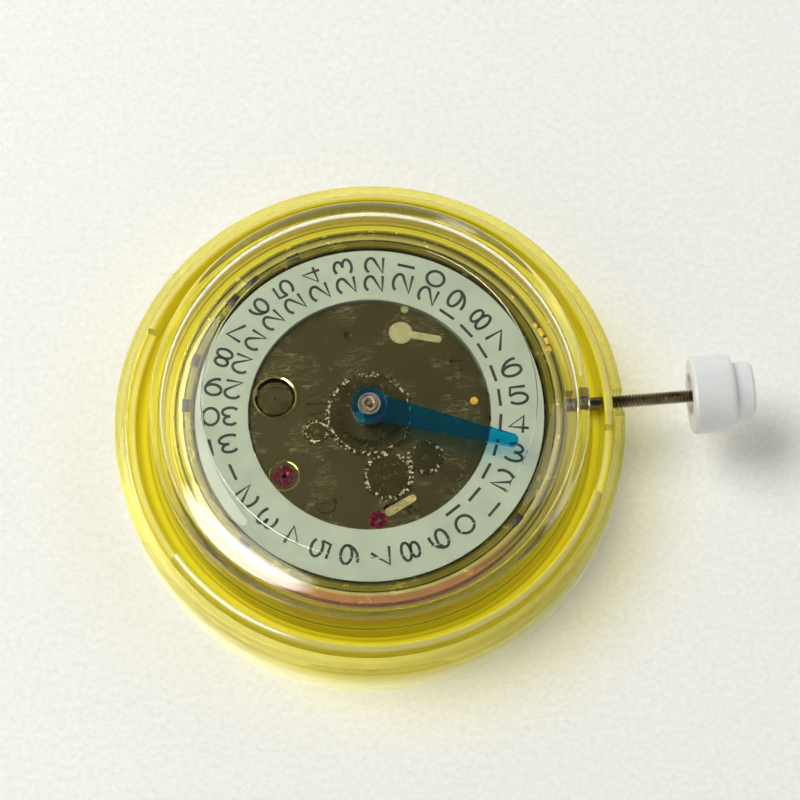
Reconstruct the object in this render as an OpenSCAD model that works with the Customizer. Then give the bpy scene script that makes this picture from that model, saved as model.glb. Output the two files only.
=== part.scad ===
// Automatic watch movement with a 24 hour hand and a date ring, lying dial side up
// in its clear tray, yellow holder and clear lid. X points to the crown, Y to twelve
// o'clock, Z up to the dial side. The origin is the centre of the tray's underside.

/* [Tray, holder and lid] */
// Outer radius of the clear tray
tray_r = 16.9; // [16.5:0.1:19]
// Wall of the clear tray
tray_wall = 0.7; // [0.4:0.05:0.9]
// Floor of the clear tray
tray_floor = 0.8; // [0.5:0.1:1.5]
// Height of the clear tray
tray_h = 6.2; // [5.9:0.1:6.8]
// Gap between the holder and the tray
holder_gap = 0.1; // [0.05:0.05:0.3]
// Outer wall of the yellow holder
holder_wall = 0.6; // [0.4:0.05:0.9]
// Height of the holder's outer wall above the movement's seat
holder_rise = 1.8; // [1.6:0.1:2.2]
// Height of the lid's shelf above the movement's seat
shelf_rise = 1.3; // [1.2:0.05:1.5]
// Outer radius of the lid's shelf
shelf_r = 14.5; // [14.4:0.05:14.8]
// Gap between the movement and the holder
seat_gap = 0.05; // [0.02:0.01:0.1]
// Radius of the stem's hole in the holder
stem_hole_r = 0.75; // [0.6:0.05:0.9]
// Wall of the clear lid
lid_wall = 0.8; // [0.5:0.05:0.9]
// Height of the lid above its shelf
lid_h = 4.3; // [4.2:0.1:6]
// Radius of the lid's flat top
lid_top_r = 10.9; // [8:0.1:12]

/* [Mainplate] */
// Radius of the movement
plate_r = 13.0; // [12.95:0.05:13.2]
// Thickness of the mainplate at its rim
plate_t = 2.4; // [2.3:0.05:2.6]
// Metal left under the dial side cavity
plate_web = 0.7; // [0.65:0.05:0.75]
// Depth of the date ring's channel below the dial seat
channel_depth = 0.5; // [0.45:0.05:0.6]
// Radius of the cavity for the motion works
cavity_r = 8.4; // [8.35:0.05:8.5]
// Length of each rectangular pocket in the rim
rim_pocket_l = 0.9; // [0.5:0.1:1.2]
// Height of the stem's axis above the mainplate's back
stem_rise = 0.5; // [0.45:0.05:0.55]

/* [Date ring and calendar plate] */
// Outer radius of the date ring
date_r_out = 11.5; // [11.3:0.05:11.6]
// Inner radius of the date ring
date_r_in = 8.0; // [7.95:0.05:8.1]
// Thickness of the date ring
date_t = 0.35; // [0.25:0.05:0.4]
// Number of days on the date ring
date_n = 31; // [31]
// Radius over the tips of the date ring's inner teeth
date_tip_r = 7.6; // [7.55:0.05:7.7]
// Radius of the calendar plate
calendar_r = 7.92; // [7.7:0.02:7.94]
// Thickness of the calendar plate
calendar_t = 0.2; // [0.15:0.05:0.25]

/* [Bridges] */
// Height of the train space between the mainplate and the train bridge
train_h = 1.8; // [1.8:0.05:1.9]
// Thickness of the train bridge
train_bridge_t = 0.7; // [0.6:0.05:0.9]
// Thickness of the automatic bridge
auto_bridge_t = 0.25; // [0.2:0.05:0.4]
// Thickness of the balance cock
cock_t = 0.4; // [0.35:0.05:0.4]
// Outer radius of the bridges
bridge_r = 12.1; // [11.9:0.05:12.2]
// Radius of the bridges' pillars
pillar_r = 1.1; // [0.9:0.1:1.2]

/* [Automatic winding] */
// Clearance under the rotor
rotor_clear = 0.5; // [0.3:0.1:1]
// Thickness of the rotor's plate
rotor_t = 0.25; // [0.2:0.05:0.3]
// Outer radius of the rotor
rotor_r = 12.2; // [11.5:0.1:12.3]
// Inner radius of the rotor's heavy rim
rotor_rim_r = 9.8; // [9.7:0.1:10.5]
// Thickness of the rotor's heavy rim
rotor_rim_t = 0.85; // [0.5:0.05:0.9]
// Teeth of the rotor's gear and of the reverser's gear
rotor_n = 30; // [24:1:32]
// Teeth of the reverser's pinion
reverser_n = 12; // [10:1:13]
// Teeth of the reduction wheel
reduction_n = 38; // [36:1:38]
// Module of the automatic wheels
auto_m = 0.12; // [0.11:0.005:0.12]
// Thickness of the automatic wheels
auto_t = 0.13; // [0.1:0.01:0.15]

/* [Hand winding] */
// Teeth of the ratchet wheel
ratchet_n = 50; // [46:1:52]
// Teeth of the crown wheel's upper gear
crown_wheel_n = 55; // [50:1:56]
// Teeth of the reduction wheel's pinion
reduction_pinion_n = 8; // [7:1:9]
// Module of the winding wheels
winding_m = 0.16; // [0.155:0.005:0.16]
// Thickness of the winding wheels
winding_t = 0.24; // [0.18:0.02:0.26]
// Teeth of the winding pinion
winding_pinion_n = 20; // [16:1:22]
// Teeth of the crown wheel's face gear
face_n = 50; // [40:1:56]
// Radius of the winding pinion
winding_pinion_r = 1.0; // [0.9:0.02:1.0]
// Travel of the stem when it is pulled
stem_travel = 0.8; // [0.5:0.05:0.8]
// Radius of the stem
stem_r = 0.45; // [0.4:0.01:0.5]
// Distance from the centre to the crown's inner face
crown_x = 21.35; // [20:0.05:24]
// Radius of the crown's grip
crown_r = 2.67; // [2:0.05:3]
// Length of the crown's grip
crown_l = 2.8; // [2:0.1:4]
// Radius of the crown's outer step
crown_step_r = 2.05; // [1.5:0.05:2.6]
// Length of the crown's outer step
crown_step_l = 1.35; // [0.5:0.05:2]

/* [Going train] */
// Distance from the centre to the barrel's axis
barrel_d = 6.4; // [6.35:0.05:6.45]
// Teeth of the barrel
barrel_n = 80; // [76:1:84]
// Teeth of the centre pinion
centre_pinion_n = 12; // [11:1:13]
// Height of the barrel's drum
drum_h = 1.15; // [1:0.05:1.2]
// Distance from the centre to the third wheel's axis
third_d = 3.7; // [3.68:0.01:3.74]
// Teeth of the centre wheel
centre_n = 80; // [80]
// Teeth of the third wheel's pinion
third_pinion_n = 10; // [10]
// Teeth of the third wheel
third_n = 75; // [75]
// Teeth of the fourth wheel's pinion
fourth_pinion_n = 10; // [10]
// Distance from the centre to the escape wheel's axis
escape_d = 3.6; // [3.58:0.01:3.64]
// Teeth of the fourth wheel
fourth_n = 84; // [84]
// Teeth of the escape wheel's pinion
escape_pinion_n = 7; // [7]
// Teeth of the escape wheel
escape_n = 15; // [15]
// Radius over the tips of the escape wheel's teeth
escape_r = 1.9; // [1.7:0.02:1.94]
// Thickness of the train wheels
wheel_t = 0.12; // [0.1:0.01:0.14]

/* [Balance] */
// Outer radius of the balance rim
balance_r = 4.2; // [3.8:0.05:4.3]
// Width of the balance rim
balance_rim = 0.45; // [0.3:0.05:0.6]
// Thickness of the balance rim
balance_t = 0.3; // [0.25:0.05:0.3]
// Turns of the hairspring
hairspring_turns = 9; // [6:1:11]
// Width of the hairspring's strip
hairspring_w = 0.05; // [0.04:0.01:0.06]

/* [Hands and motion works] */
// Teeth of the cannon pinion
cannon_n = 12; // [12]
// Teeth of the minute wheel
minute_n = 36; // [36]
// Teeth of the minute wheel's pinion
minute_pinion_n = 10; // [10]
// Teeth of the hour wheel
hour_n = 40; // [40]
// Distance from the centre to the minute wheel's axis
minute_d = 2.4; // [2.38:0.01:2.44]
// Teeth of the setting wheel
setting_n = 31; // [28:1:32]
// Teeth of the hour wheel's second gear
hour_gmt_n = 57; // [57]
// Teeth of the intermediate wheel that the hour wheel turns
inter_n = 64; // [64]
// Teeth of the intermediate wheel's upper gear
inter_top_n = 32; // [32]
// Teeth of the 24 hour wheel
gmt_n = 57; // [57]
// Teeth of the 24 hour wheel's correction star
gmt_star_n = 36; // [30:1:40]
// Teeth of the 24 hour setting wheel
gmt_setting_n = 23; // [20:1:24]
// Module of the 24 hour wheels
gmt_m = 0.1; // [0.098:0.001:0.102]
// Length of the blue pointer from the centre
pointer_l = 10; // [7:0.1:10.1]
// Direction of the blue pointer
pointer_a = -19.5; // [-180:0.5:180]
// Radius of the pointer's hub
pointer_hub_r = 1.2; // [1:0.05:1.5]
// Thickness of the pointer's arm
pointer_t = 0.4; // [0.2:0.05:0.6]
// Radius of the seconds hand's seat on its post
second_seat_r = 0.12; // [0.1:0.005:0.125]
// Length of the seconds hand's seat
second_seat_l = 0.24; // [0.2:0.01:0.3]

/* [Hidden] */
$fn = 64;

// Running clearance in height between neighbouring wheels, and at the bores
air = 0.02;
step_z = 0.06;
cut = 0.5;
pivot_r = 0.08;
pivot_l = 0.18;
pivot_bore = pivot_r + 0.01;
jewel_r = 0.45;
jewel_t = 0.25;
slot_w = 0.18;

// Heights, from the tray's underside up to the dial side
z_rotor = tray_floor + rotor_clear;
z_auto_top = z_rotor + rotor_t + 0.08;
z_auto_bridge = z_auto_top + auto_t + 0.09;
z_auto_low = z_auto_bridge + auto_bridge_t + 0.05;
z_winding = z_auto_low + auto_t + step_z;
z_bridge = z_winding + winding_t + air;
z_train = z_bridge + train_bridge_t;
z_back = z_train + train_h;
z_floor = z_back + plate_web;
z_dial = z_back + plate_t;
z_seat = z_dial - channel_depth;
z_stem = z_back + stem_rise;
z_shelf = z_back + shelf_rise;

// Heights in the train space, from the train bridge
z_third = z_train + 0.12;
z_fourth = z_third + wheel_t + 0.1;
z_centre = z_fourth + wheel_t + 0.08;
z_barrel = z_train + 0.78;
z_escape = z_train + 0.85;
z_fork = z_escape + wheel_t + 0.03;
fork_t = 0.15;
z_balance = z_train - 0.3;
z_cock = z_balance - 0.25 - cock_t;
z_hairspring = z_balance - 0.16;
z_pallet_bridge = z_train + 0.25;
pallet_bridge_t = 0.3;

// Heights on the dial side, from the cavity's floor and from the date ring
motion_t = 0.12;
z_motion = z_floor + 0.07;
z_hour = z_floor + 0.3;
z_hour_gmt = z_hour + motion_t + step_z;
z_flange = z_seat - 0.5;
flange_t = 0.28;
z_calendar = z_flange + flange_t + 0.04;
z_calendar_top = z_calendar + calendar_t;
z_date = z_seat + 0.05;
z_gmt = z_calendar_top + 0.08;
z_star = z_gmt + 0.24;
z_second = z_dial + 1.86;

function polar(r, a) = [r * cos(a), r * sin(a)];
function aim(p, q) = atan2(q[1] - p[1], q[0] - p[0]);
// Turn of a second gear that puts its gap on the first gear's tooth; dir leads to it
function mesh(n1, turn1, n2, dir) =
  dir + 180 + ((dir - turn1) * n1 / 360 + 0.5) * 360 / n2;
// The point at distance a from p and b from q, on the left of the way from p to q
function meet(p, a, q, b) =
  let (d = norm(q - p), c = (a * a + d * d - b * b) / (2 * a * d))
  p + polar(a, aim(p, q) + acos(c));

// Axes in plan
barrel_p = polar(barrel_d, 75);
third_p = polar(third_d, 281);
balance_p = [-6.12, 1.79];
escape_p = polar(escape_d, 218);
fork_d = 2 * escape_r / sqrt(3);
fork_dir = aim(escape_p, balance_p);
fork_p = escape_p + polar(fork_d, fork_dir);
crown_wheel_d = (ratchet_n + crown_wheel_n) * winding_m / 2;
crown_wheel_p = [barrel_p[0] + sqrt(pow(crown_wheel_d, 2) - pow(barrel_p[1], 2)), 0];
reduction_p = barrel_p + polar((ratchet_n + reduction_pinion_n) * winding_m / 2, 228);
reverser_p = meet([0, 0], rotor_n * auto_m, reduction_p, (reduction_n + reverser_n) * auto_m / 2);
minute_p = [minute_d, 0];
minute_m = 2 * minute_d / (cannon_n + minute_n);
hour_m = 2 * minute_d / (minute_pinion_n + hour_n);
setting_p = minute_p + [(minute_n + setting_n) * minute_m / 2, 0];
inter_d = (inter_top_n + gmt_n) * gmt_m / 2;
inter_a = -78.84;
inter_p = polar(inter_d, inter_a);
inter_m = 2 * inter_d / (hour_gmt_n + inter_n);
gmt_setting_p = inter_p + polar((inter_top_n + gmt_setting_n) * gmt_m / 2, 23);
date_drive_n = 2 * hour_n;
date_drive_p = polar((hour_n + date_drive_n) * hour_m / 2, 100);
corrector_n = 17;
corrector_a = 194.4;
corrector_p = polar((gmt_n + corrector_n) * gmt_m / 2, corrector_a);
jumper_p = [2.2, -6.7];
// Centre, radius and bore of the two jewels set in the calendar plate
top_jewels = [[[-5.92, -3.72], 0.7, 0.16], [[-0.07, -7.24], 0.6, 0.14]];
keyhole_p = [2.54, 5.61];
keyhole_end = [4.95, 4.94];
keyhole_r = 0.8;
keyhole_slot_r = 0.28;
slide_slot = [[0.6, -6.55], [1.2, -6.35]];
yoke_p = [9.4, 4.0];
setting_lever_p = [10.6, 3.2];
barrel_arbor_r = 0.55;
barrel_bore = barrel_arbor_r + air;
stem_groove_x = 10.95;
groove_w = 0.4;
click_p = barrel_p + polar(ratchet_n * winding_m / 2 + 1, 120);
click_spring_p = polar(11, 110);

// Modules of the train
barrel_m = 2 * barrel_d / (barrel_n + centre_pinion_n);
centre_m = 2 * third_d / (centre_n + third_pinion_n);
third_m = 2 * third_d / (third_n + fourth_pinion_n);
fourth_m = 2 * escape_d / (fourth_n + escape_pinion_n);
barrel_tip_r = (barrel_n / 2 + 0.85) * barrel_m;
drum_r = (barrel_n / 2 - 1.1) * barrel_m - 0.12;

// Feet of the bridges
train_feet = [polar(10.6, 30), polar(10.9, 328), polar(10.4, 300), polar(10.4, 245), polar(10.9, 125)];
auto_feet = [[-3.9, 7.0], [-2.2, -5.2], [4.2, -5.0]];
cock_foot = polar(10.48, 203.6);
pallet_feet = [[-6.6, -3.4], [-7.6, -1.3]];
calendar_posts = [[-3.34, -5.91], [6.2, 3.2], [5.25, -4.47], [-3.5, 1.0]];
screw_r = 0.35;
screw_bore = screw_r + 0.01;
head_r = 0.75;
calendar_head_r = 0.6;
rim_pocket_angles = [110.2, 125, 133.9, 157.5, 172.7, 223, -42.6];
rim_pocket_r = 12.1;

// Sizes of the stem's pieces, along the stem
clutch_x = 7.9;
clutch_l = 1.4;
clutch_r = 0.85;
pinion_x = clutch_x + clutch_l;
square_x = 7.5;
square_w = 0.56;
stem_step_x = 10.75;
face_r = 2.55;

// Basic forms
module at(p) translate([p[0], p[1], 0]) children();
module disc(r, z0, z1) translate([0, 0, z0]) cylinder(r = r, h = z1 - z0);
module tube(ri, ro, z0, z1) {
  difference() {
    disc(ro, z0, z1);
    disc(ri, z0 - cut, z1 + cut);
  }
}
module slab(z0, z1) translate([0, 0, z0]) linear_extrude(z1 - z0) children();
module along_x(x0, x1, r) translate([x0, 0, z_stem]) rotate([0, 90, 0]) cylinder(r = r, h = x1 - x0);
// A flat bar with round ends of radius a at p and b at q
module link(p, q, a, b) {
  d = norm(q - p);
  w = acos((a - b) / d);
  t = aim(p, q);
  polygon([p + polar(a, t - w), q + polar(b, t - w), q + polar(b, t + w), p + polar(a, t + w)]);
  translate(p) circle(a);
  translate(q) circle(b);
}
// Outline of a toothed wheel with n teeth of module m
module teeth(n, m, turn = 0) {
  polygon([
    for (i = [0 : n - 1], c = [[-0.3, -1.1], [-0.11, 0.85], [0.11, 0.85], [0.3, -1.1]])
      (n / 2 + c[1]) * m * [cos(turn + (i + c[0]) * 360 / n), sin(turn + (i + c[0]) * 360 / n)]
  ]);
}
// Openings between the hub and the rim of a wheel, which leave its spokes
module openings(hub, rim, spokes, w) {
  difference() {
    circle(rim);
    circle(hub);
    for (i = [0 : spokes - 1]) rotate(i * 360 / spokes) translate([0, -w / 2]) square([rim + 1, w]);
  }
}
// A flat toothed wheel with a bore, and spokes where their number is given
module gear(n, m, z0, z1, turn = 0, bore = 0, spokes = 0, hub = 0.6) {
  slab(z0, z1) difference() {
    teeth(n, m, turn);
    if (bore > 0) circle(bore);
    if (spokes > 0) openings(hub, (n / 2 - 1.1) * m - 0.3, spokes, 0.28);
  }
}
// An arbor that ends in two thin pivots
module arbor(r, z0, z1) {
  disc(r, z0, z1);
  disc(pivot_r, z0 - pivot_l, z1 + pivot_l);
}
module screw(r, head, z_head, head_t, z_end) {
  difference() {
    union() {
      disc(head, z_head, z_head + head_t);
      disc(r, z_head, z_end);
    }
    translate([-head, -slot_w / 2, z_head - air]) cube([2 * head, slot_w, head_t / 2]);
  }
}
// The same screw with its head up
module top_screw(r, head, z_head, head_t, z_end) {
  difference() {
    union() {
      disc(head, z_head, z_head + head_t);
      disc(r, z_end, z_head + head_t);
    }
    translate([-head, -slot_w / 2, z_head + head_t / 2]) cube([2 * head, slot_w, head_t]);
  }
}
module spiral(r0, pitch, turns, w, end_a) {
  n = 24 * turns;
  function mid(i) = r0 + pitch * i / 24;
  function dir(i) = end_a + (i - n) * 15;
  polygon(concat(
    [for (i = [0 : n]) polar(mid(i) + w / 2, dir(i))],
    [for (i = [n : -1 : 0]) polar(mid(i) - w / 2, dir(i))]
  ));
}

// Tray, holder and lid
module tray() color([0.93, 0.96, 0.98, 0.35]) {
  difference() {
    rotate_extrude($fn = 128) polygon([[0, 0], [tray_r, 0], [tray_r, tray_h], [tray_r - tray_wall, tray_h],
      [tray_r - tray_wall, tray_floor], [0, tray_floor]]);
    along_x(tray_r - 2, tray_r + 1, stem_hole_r);
    translate([tray_r - 2, -stem_hole_r, z_stem]) cube([3, 2 * stem_hole_r, 3]);
  }
}
holder_r = tray_r - tray_wall - holder_gap;
module movement_holder() color([0.9, 0.82, 0.1, 0.8]) {
  r0 = rotor_r + 0.3;
  r1 = plate_r + seat_gap;
  r2 = holder_r - holder_wall;
  difference() {
    rotate_extrude($fn = 128) polygon([[r0, tray_floor], [r0 + 0.8, tray_floor], [r0 + 0.8, z_back - 1.1],
      [r2, z_back - 1.1], [r2, tray_floor], [holder_r, tray_floor], [holder_r, z_back + holder_rise],
      [r2, z_back + holder_rise], [r2, z_back - 0.3], [shelf_r, z_back - 0.3], [shelf_r, z_shelf],
      [r1, z_shelf], [r1, z_back], [r0, z_back]]);
    along_x(r0 - 1, tray_r, stem_hole_r);
    translate([r0 - 1, -stem_hole_r, z_stem]) cube([shelf_r - r0 + 1.3, 2 * stem_hole_r, 2]);
    for (a = [[-24, -7], [152, 212]]) slab(z_back + 0.5, z_back + holder_rise + 1)
      difference() {
        polygon(concat([[0, 0]], [for (i = [0 : 8]) polar(20, a[0] + (a[1] - a[0]) * i / 8)]));
        circle(r2 - 0.2);
      }
  }
}
lid_r = shelf_r - 0.1;
module clear_lid() color([0.93, 0.96, 0.98, 0.25]) {
  z1 = z_shelf + lid_h;
  rise = 1.8;
  inner = lid_r - lid_wall;
  arc = [for (a = [0 : 9 : 90]) [lid_top_r + (lid_r - lid_top_r) * cos(a), z1 - rise + rise * sin(a)]];
  low = [for (a = [90 : -9 : 0])
    [lid_top_r - 0.3 + (inner - lid_top_r + 0.3) * cos(a), z1 - 0.5 - rise + (rise - 0.2) * sin(a)]];
  rotate_extrude($fn = 128) polygon(concat([[inner, z_shelf], [lid_r, z_shelf]], arc, [[0, z1]],
    [[0, z1 - 0.7]], low));
}

// Mainplate and bridges
module keyless_pocket() {
  r = date_r_out + 0.1;
  slab(z_floor + 0.2, z_seat + cut) difference() {
    polygon(concat([[0, 0]], [for (i = [0 : 6]) polar(14, -8 + 10 * i)]));
    difference() {
      circle(20);
      circle(r);
    }
    circle(cavity_r - 0.1);
  }
}
module mainplate() color([0.62, 0.56, 0.44]) {
  difference() {
    union() {
      difference() {
        disc(plate_r, z_back, z_dial);
        disc(date_r_out + 0.15, z_seat, z_dial + cut);
        disc(cavity_r, z_floor, z_dial + cut);
        keyless_pocket();
      }
      at(balance_p) disc(1.15, z_floor - 0.1, z_flange + 0.2);
      at(minute_p) disc(0.15, z_floor - 0.1, z_hour + motion_t);
      at(setting_p) disc(0.3, z_floor - 0.1, z_hour);
      at(date_drive_p) disc(0.25, z_floor - 0.1, z_calendar);
      at(jumper_p) disc(0.3, z_floor - 0.1, z_calendar);
      at(yoke_p) disc(0.2, z_floor, z_hour_gmt + 0.15);
      at(setting_lever_p) disc(0.2, z_floor, z_calendar + 0.05);
      for (p = calendar_posts) at(p) disc(0.65, z_floor - 0.1, z_calendar);
    }
    at(date_drive_p) tube(0.26, date_drive_n * hour_m / 2 + 0.2, z_floor + 0.2, z_dial + cut);
    along_x(clutch_x + 2, plate_r + 1, stem_r + air);
    translate([square_x - 0.15, -1.22, z_back - cut]) cube([stem_step_x - square_x + 0.15, 2.44, z_dial]);
    translate([10.7, -0.5, z_stem]) cube([stem_travel + 0.85, 1.1, z_seat - z_stem]);
    slab(z_floor + 0.6, z_seat)
      link(setting_lever_p, [stem_groove_x + groove_w / 2 + stem_travel, 0.13], 0.55, 0.4);
    at(barrel_p) {
      disc(barrel_tip_r + 0.1, z_back - cut, z_back + 0.32);
      disc(0.35, z_back, z_back + 0.52);
    }
    disc(0.34, z_back - cut, z_dial);
    for (p = [third_p, escape_p, fork_p]) at(p) disc(jewel_r, z_back - cut, z_back + jewel_t);
    at(balance_p) {
      disc(0.5, z_back - cut, z_dial);
      disc(0.8, z_floor + 0.45, z_dial);
    }
    at(inter_p) disc(0.15, z_back + 0.3, z_dial);
    for (p = concat(train_feet, [cock_foot], pallet_feet)) at(p) disc(screw_bore, z_back - cut, z_back + 0.55);
    for (p = calendar_posts) at(p) disc(0.3, z_floor + 0.2, z_dial);
    for (a = rim_pocket_angles) rotate(a) translate([rim_pocket_r - 0.25, -rim_pocket_l / 2, z_dial - 1.2])
      cube([0.5, rim_pocket_l, 2]);
  }
}
module train_bridge() color([0.78, 0.77, 0.74]) {
  difference() {
    union() {
      slab(z_bridge, z_train) difference() {
        circle(bridge_r, $fn = 128);
        link(balance_p, polar(20, aim([0, 0], balance_p)), balance_r + 0.3, balance_r + 0.3);
        link(balance_p, cock_foot, 2.2, 1.7);
        link(cock_foot, 1.5 * cock_foot, 1.7, 2.4);
        link(1.6 * balance_p, 1.5 * cock_foot, 4, 3);
      }
      for (p = train_feet) at(p) disc(pillar_r, z_bridge, z_back);
      disc(0.6, z_rotor - 0.1, z_train);
      at(click_p) disc(0.2, z_winding - 0.02, z_bridge + 0.1);
    }
    for (p = [[0, 0], third_p, escape_p]) at(p) disc(jewel_r, z_train - jewel_t, z_train + cut);
    for (p = [[0, 0], third_p, escape_p]) at(p) disc(pivot_r + 0.02, z_train - 0.4, z_train);
    at(barrel_p) disc(barrel_bore, z_bridge - cut, z_train + cut);
    at(crown_wheel_p) disc(0.82, z_bridge - cut, z_train + cut);
    at(reduction_p) disc(pivot_bore, z_bridge - cut, z_bridge + 0.25);
    for (p = train_feet) at(p) disc(screw_bore, z_bridge - cut, z_back + cut);
    for (p = auto_feet) at(p) disc(screw_bore, z_bridge - cut, z_bridge + 0.5);
    disc(0.3, z_rotor - cut, z_bridge - 0.3);
    at(click_spring_p) disc(0.25, z_bridge - cut, z_bridge + 0.4);
  }
}
module balance_cock() color([0.8, 0.79, 0.76]) {
  stud = balance_p + polar(2.2, 20);
  difference() {
    union() {
      slab(z_cock, z_cock + cock_t) {
        link(balance_p, cock_foot, 1.3, 1.3);
        link(balance_p, stud, 0.7, 0.3);
      }
      at(cock_foot) disc(1.3, z_cock, z_back);
      at(stud) disc(0.13, z_cock, z_hairspring + 0.12);
    }
    at(balance_p) disc(0.8, z_cock - cut, z_cock + cock_t + cut);
    at(cock_foot) disc(screw_bore, z_cock - cut, z_back + cut);
  }
}
module pallet_bridge() color([0.76, 0.75, 0.72]) {
  z1 = z_pallet_bridge + pallet_bridge_t;
  difference() {
    union() {
      slab(z_pallet_bridge, z1) {
        link(fork_p, pallet_feet[0], 0.6, 0.8);
        link(fork_p, pallet_feet[1], 0.6, 0.8);
      }
      for (p = pallet_feet) at(p) disc(0.8, z_pallet_bridge, z_back);
    }
    at(fork_p) disc(0.4, z_pallet_bridge - cut, z1 + cut);
    for (p = pallet_feet) at(p) disc(screw_bore, z_pallet_bridge - cut, z_back + cut);
  }
}
module automatic_bridge() color([0.8, 0.79, 0.76]) {
  z1 = z_auto_bridge + auto_bridge_t;
  difference() {
    union() {
      slab(z_auto_bridge, z1) {
        link([0, 0], auto_feet[0], 2.6, 1.1);
        link([0, 0], auto_feet[1], 2.6, 1.1);
        link([0, 0], auto_feet[2], 2.6, 1.1);
        link([0, 0], reverser_p, 2, 1.1);
      }
      for (p = auto_feet) at(p) disc(0.8, z_auto_bridge, z_bridge);
    }
    disc(0.65, z_auto_bridge - cut, z1 + cut);
    at(reverser_p) disc(0.3, z_auto_bridge - cut, z1 + cut);
    at(reduction_p) disc(pivot_bore, z_auto_bridge - cut, z1 + cut);
    for (p = auto_feet) at(p) disc(screw_bore, z_auto_bridge - cut, z_bridge + cut);
  }
}
// A round hole with a narrow slot that runs out of it
module keyhole() {
  translate(keyhole_p) circle(keyhole_r);
  translate(keyhole_p) rotate(aim(keyhole_p, keyhole_end)) translate([0, -keyhole_slot_r])
    square([norm(keyhole_end - keyhole_p), 2 * keyhole_slot_r]);
  translate(keyhole_end) circle(keyhole_slot_r);
}
module calendar_plate() color([0.33, 0.31, 0.2]) {
  difference() {
    union() {
      disc(calendar_r, z_calendar, z_calendar_top);
      at(gmt_setting_p) disc(0.2, z_calendar, z_gmt + motion_t + 0.06);
      at(corrector_p) disc(0.2, z_calendar, z_gmt + motion_t + 0.06);
    }
    disc(1.3, z_calendar - cut, z_calendar_top + cut);
    at(balance_p) disc(1.5, z_calendar - cut, z_calendar_top + cut);
    for (j = top_jewels) at(j[0]) disc(j[1], z_calendar - cut, z_calendar_top + cut);
    at(inter_p) disc(0.45, z_calendar - cut, z_calendar_top + cut);
    at(date_drive_p) disc(0.26, z_calendar - cut, z_calendar_top + cut);
    at(jumper_p) disc(0.31, z_calendar - cut, z_calendar_top + cut);
    slab(z_calendar - cut, z_calendar_top + cut) keyhole();
    slab(z_calendar - cut, z_calendar_top + cut) link(slide_slot[0], slide_slot[1], 0.25, 0.25);
    for (p = calendar_posts) at(p) disc(calendar_head_r + 0.05, z_calendar + 0.1, z_calendar_top + cut);
    for (p = calendar_posts) at(p) disc(0.31, z_calendar - cut, z_calendar_top + cut);
  }
}
module plate_jewels() color([0.75, 0.08, 0.32]) {
  for (p = [third_p, escape_p, fork_p]) at(p) tube(pivot_bore, jewel_r, z_back, z_back + jewel_t);
  for (j = top_jewels) at(j[0]) tube(j[2], j[1], z_calendar, z_calendar_top);
}
module bridge_jewels() color([0.75, 0.08, 0.32]) {
  for (p = [[0, 0], third_p, escape_p]) at(p) tube(pivot_bore, jewel_r, z_train - jewel_t, z_train);
  at(fork_p) tube(pivot_bore, 0.4, z_pallet_bridge, z_pallet_bridge + pallet_bridge_t);
}
module shock_settings() color([0.83, 0.66, 0.3]) {
  at(balance_p) {
    tube(pivot_bore, 0.8, z_cock + 0.1, z_cock + cock_t);
    tube(pivot_bore, 0.8, z_floor + 0.45, z_flange + 0.15);
  }
}
module bridge_screws() color([0.55, 0.57, 0.62]) {
  for (p = train_feet) at(p) screw(screw_r, head_r, z_bridge - 0.25, 0.25, z_back + 0.5);
  at(cock_foot) screw(screw_r, head_r, z_cock - 0.15, 0.15, z_back + 0.5);
  for (p = pallet_feet) at(p) screw(screw_r, 0.6, z_pallet_bridge - 0.15, 0.15, z_back + 0.5);
  for (p = auto_feet) at(p) screw(screw_r, head_r, z_auto_bridge - 0.15, 0.15, z_bridge + 0.45);
}
module calendar_screws() color([0.55, 0.57, 0.62]) {
  for (p = calendar_posts) at(p) top_screw(0.29, calendar_head_r, z_calendar + 0.1, 0.2, z_floor + 0.3);
}

// Barrel and winding wheels
module barrel_drum() color([0.82, 0.7, 0.38]) {
  z1 = z_barrel + drum_h;
  turn = mesh(centre_pinion_n, 0, barrel_n, 75);
  at(barrel_p) {
    tube(drum_r - 0.2, drum_r, z_barrel, z1);
    tube(barrel_bore, drum_r, z1 - 0.2, z1);
    gear(barrel_n, barrel_m, z_barrel, z_barrel + 0.3, turn, drum_r - 0.1);
  }
}
module barrel_cover() color([0.86, 0.75, 0.42]) {
  at(barrel_p) tube(barrel_bore, drum_r - 0.2, z_barrel + 0.02, z_barrel + 0.18);
}
module barrel_arbor() color([0.6, 0.62, 0.65]) {
  at(barrel_p) {
    disc(barrel_arbor_r, z_bridge, z_barrel + drum_h + 0.02);
    disc(0.34, z_bridge, z_back + 0.5);
    disc(0.95, z_barrel + 0.22, z_barrel + drum_h - 0.24);
    translate([-0.35, -0.35, z_winding + 0.02]) cube([0.7, 0.7, 0.5]);
  }
}
module mainspring() color([0.5, 0.55, 0.65]) {
  at(barrel_p) slab(z_barrel + 0.24, z_barrel + drum_h - 0.26)
    spiral(1.05, (drum_r - 0.3 - 1.05) / 11, 11, 0.1, 0);
}
module ratchet_wheel() color([0.78, 0.8, 0.82]) {
  at(barrel_p) slab(z_winding, z_winding + winding_t) difference() {
    teeth(ratchet_n, winding_m);
    square(0.72, center = true);
    for (i = [0 : 5]) rotate(60 * i + 30) translate([2.3, 0]) circle(0.55);
  }
}
module ratchet_screw() color([0.55, 0.57, 0.62]) {
  head = 0.8;
  at(barrel_p) difference() {
    disc(head, z_winding - 0.14, z_winding);
    translate([-head, -slot_w / 2, z_winding - 0.15]) cube([2 * head, slot_w, 0.08]);
  }
}
face_turn = mesh(ratchet_n, 0, crown_wheel_n, aim(barrel_p, crown_wheel_p));
z_face = z_stem - winding_pinion_r + 0.08;
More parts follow.
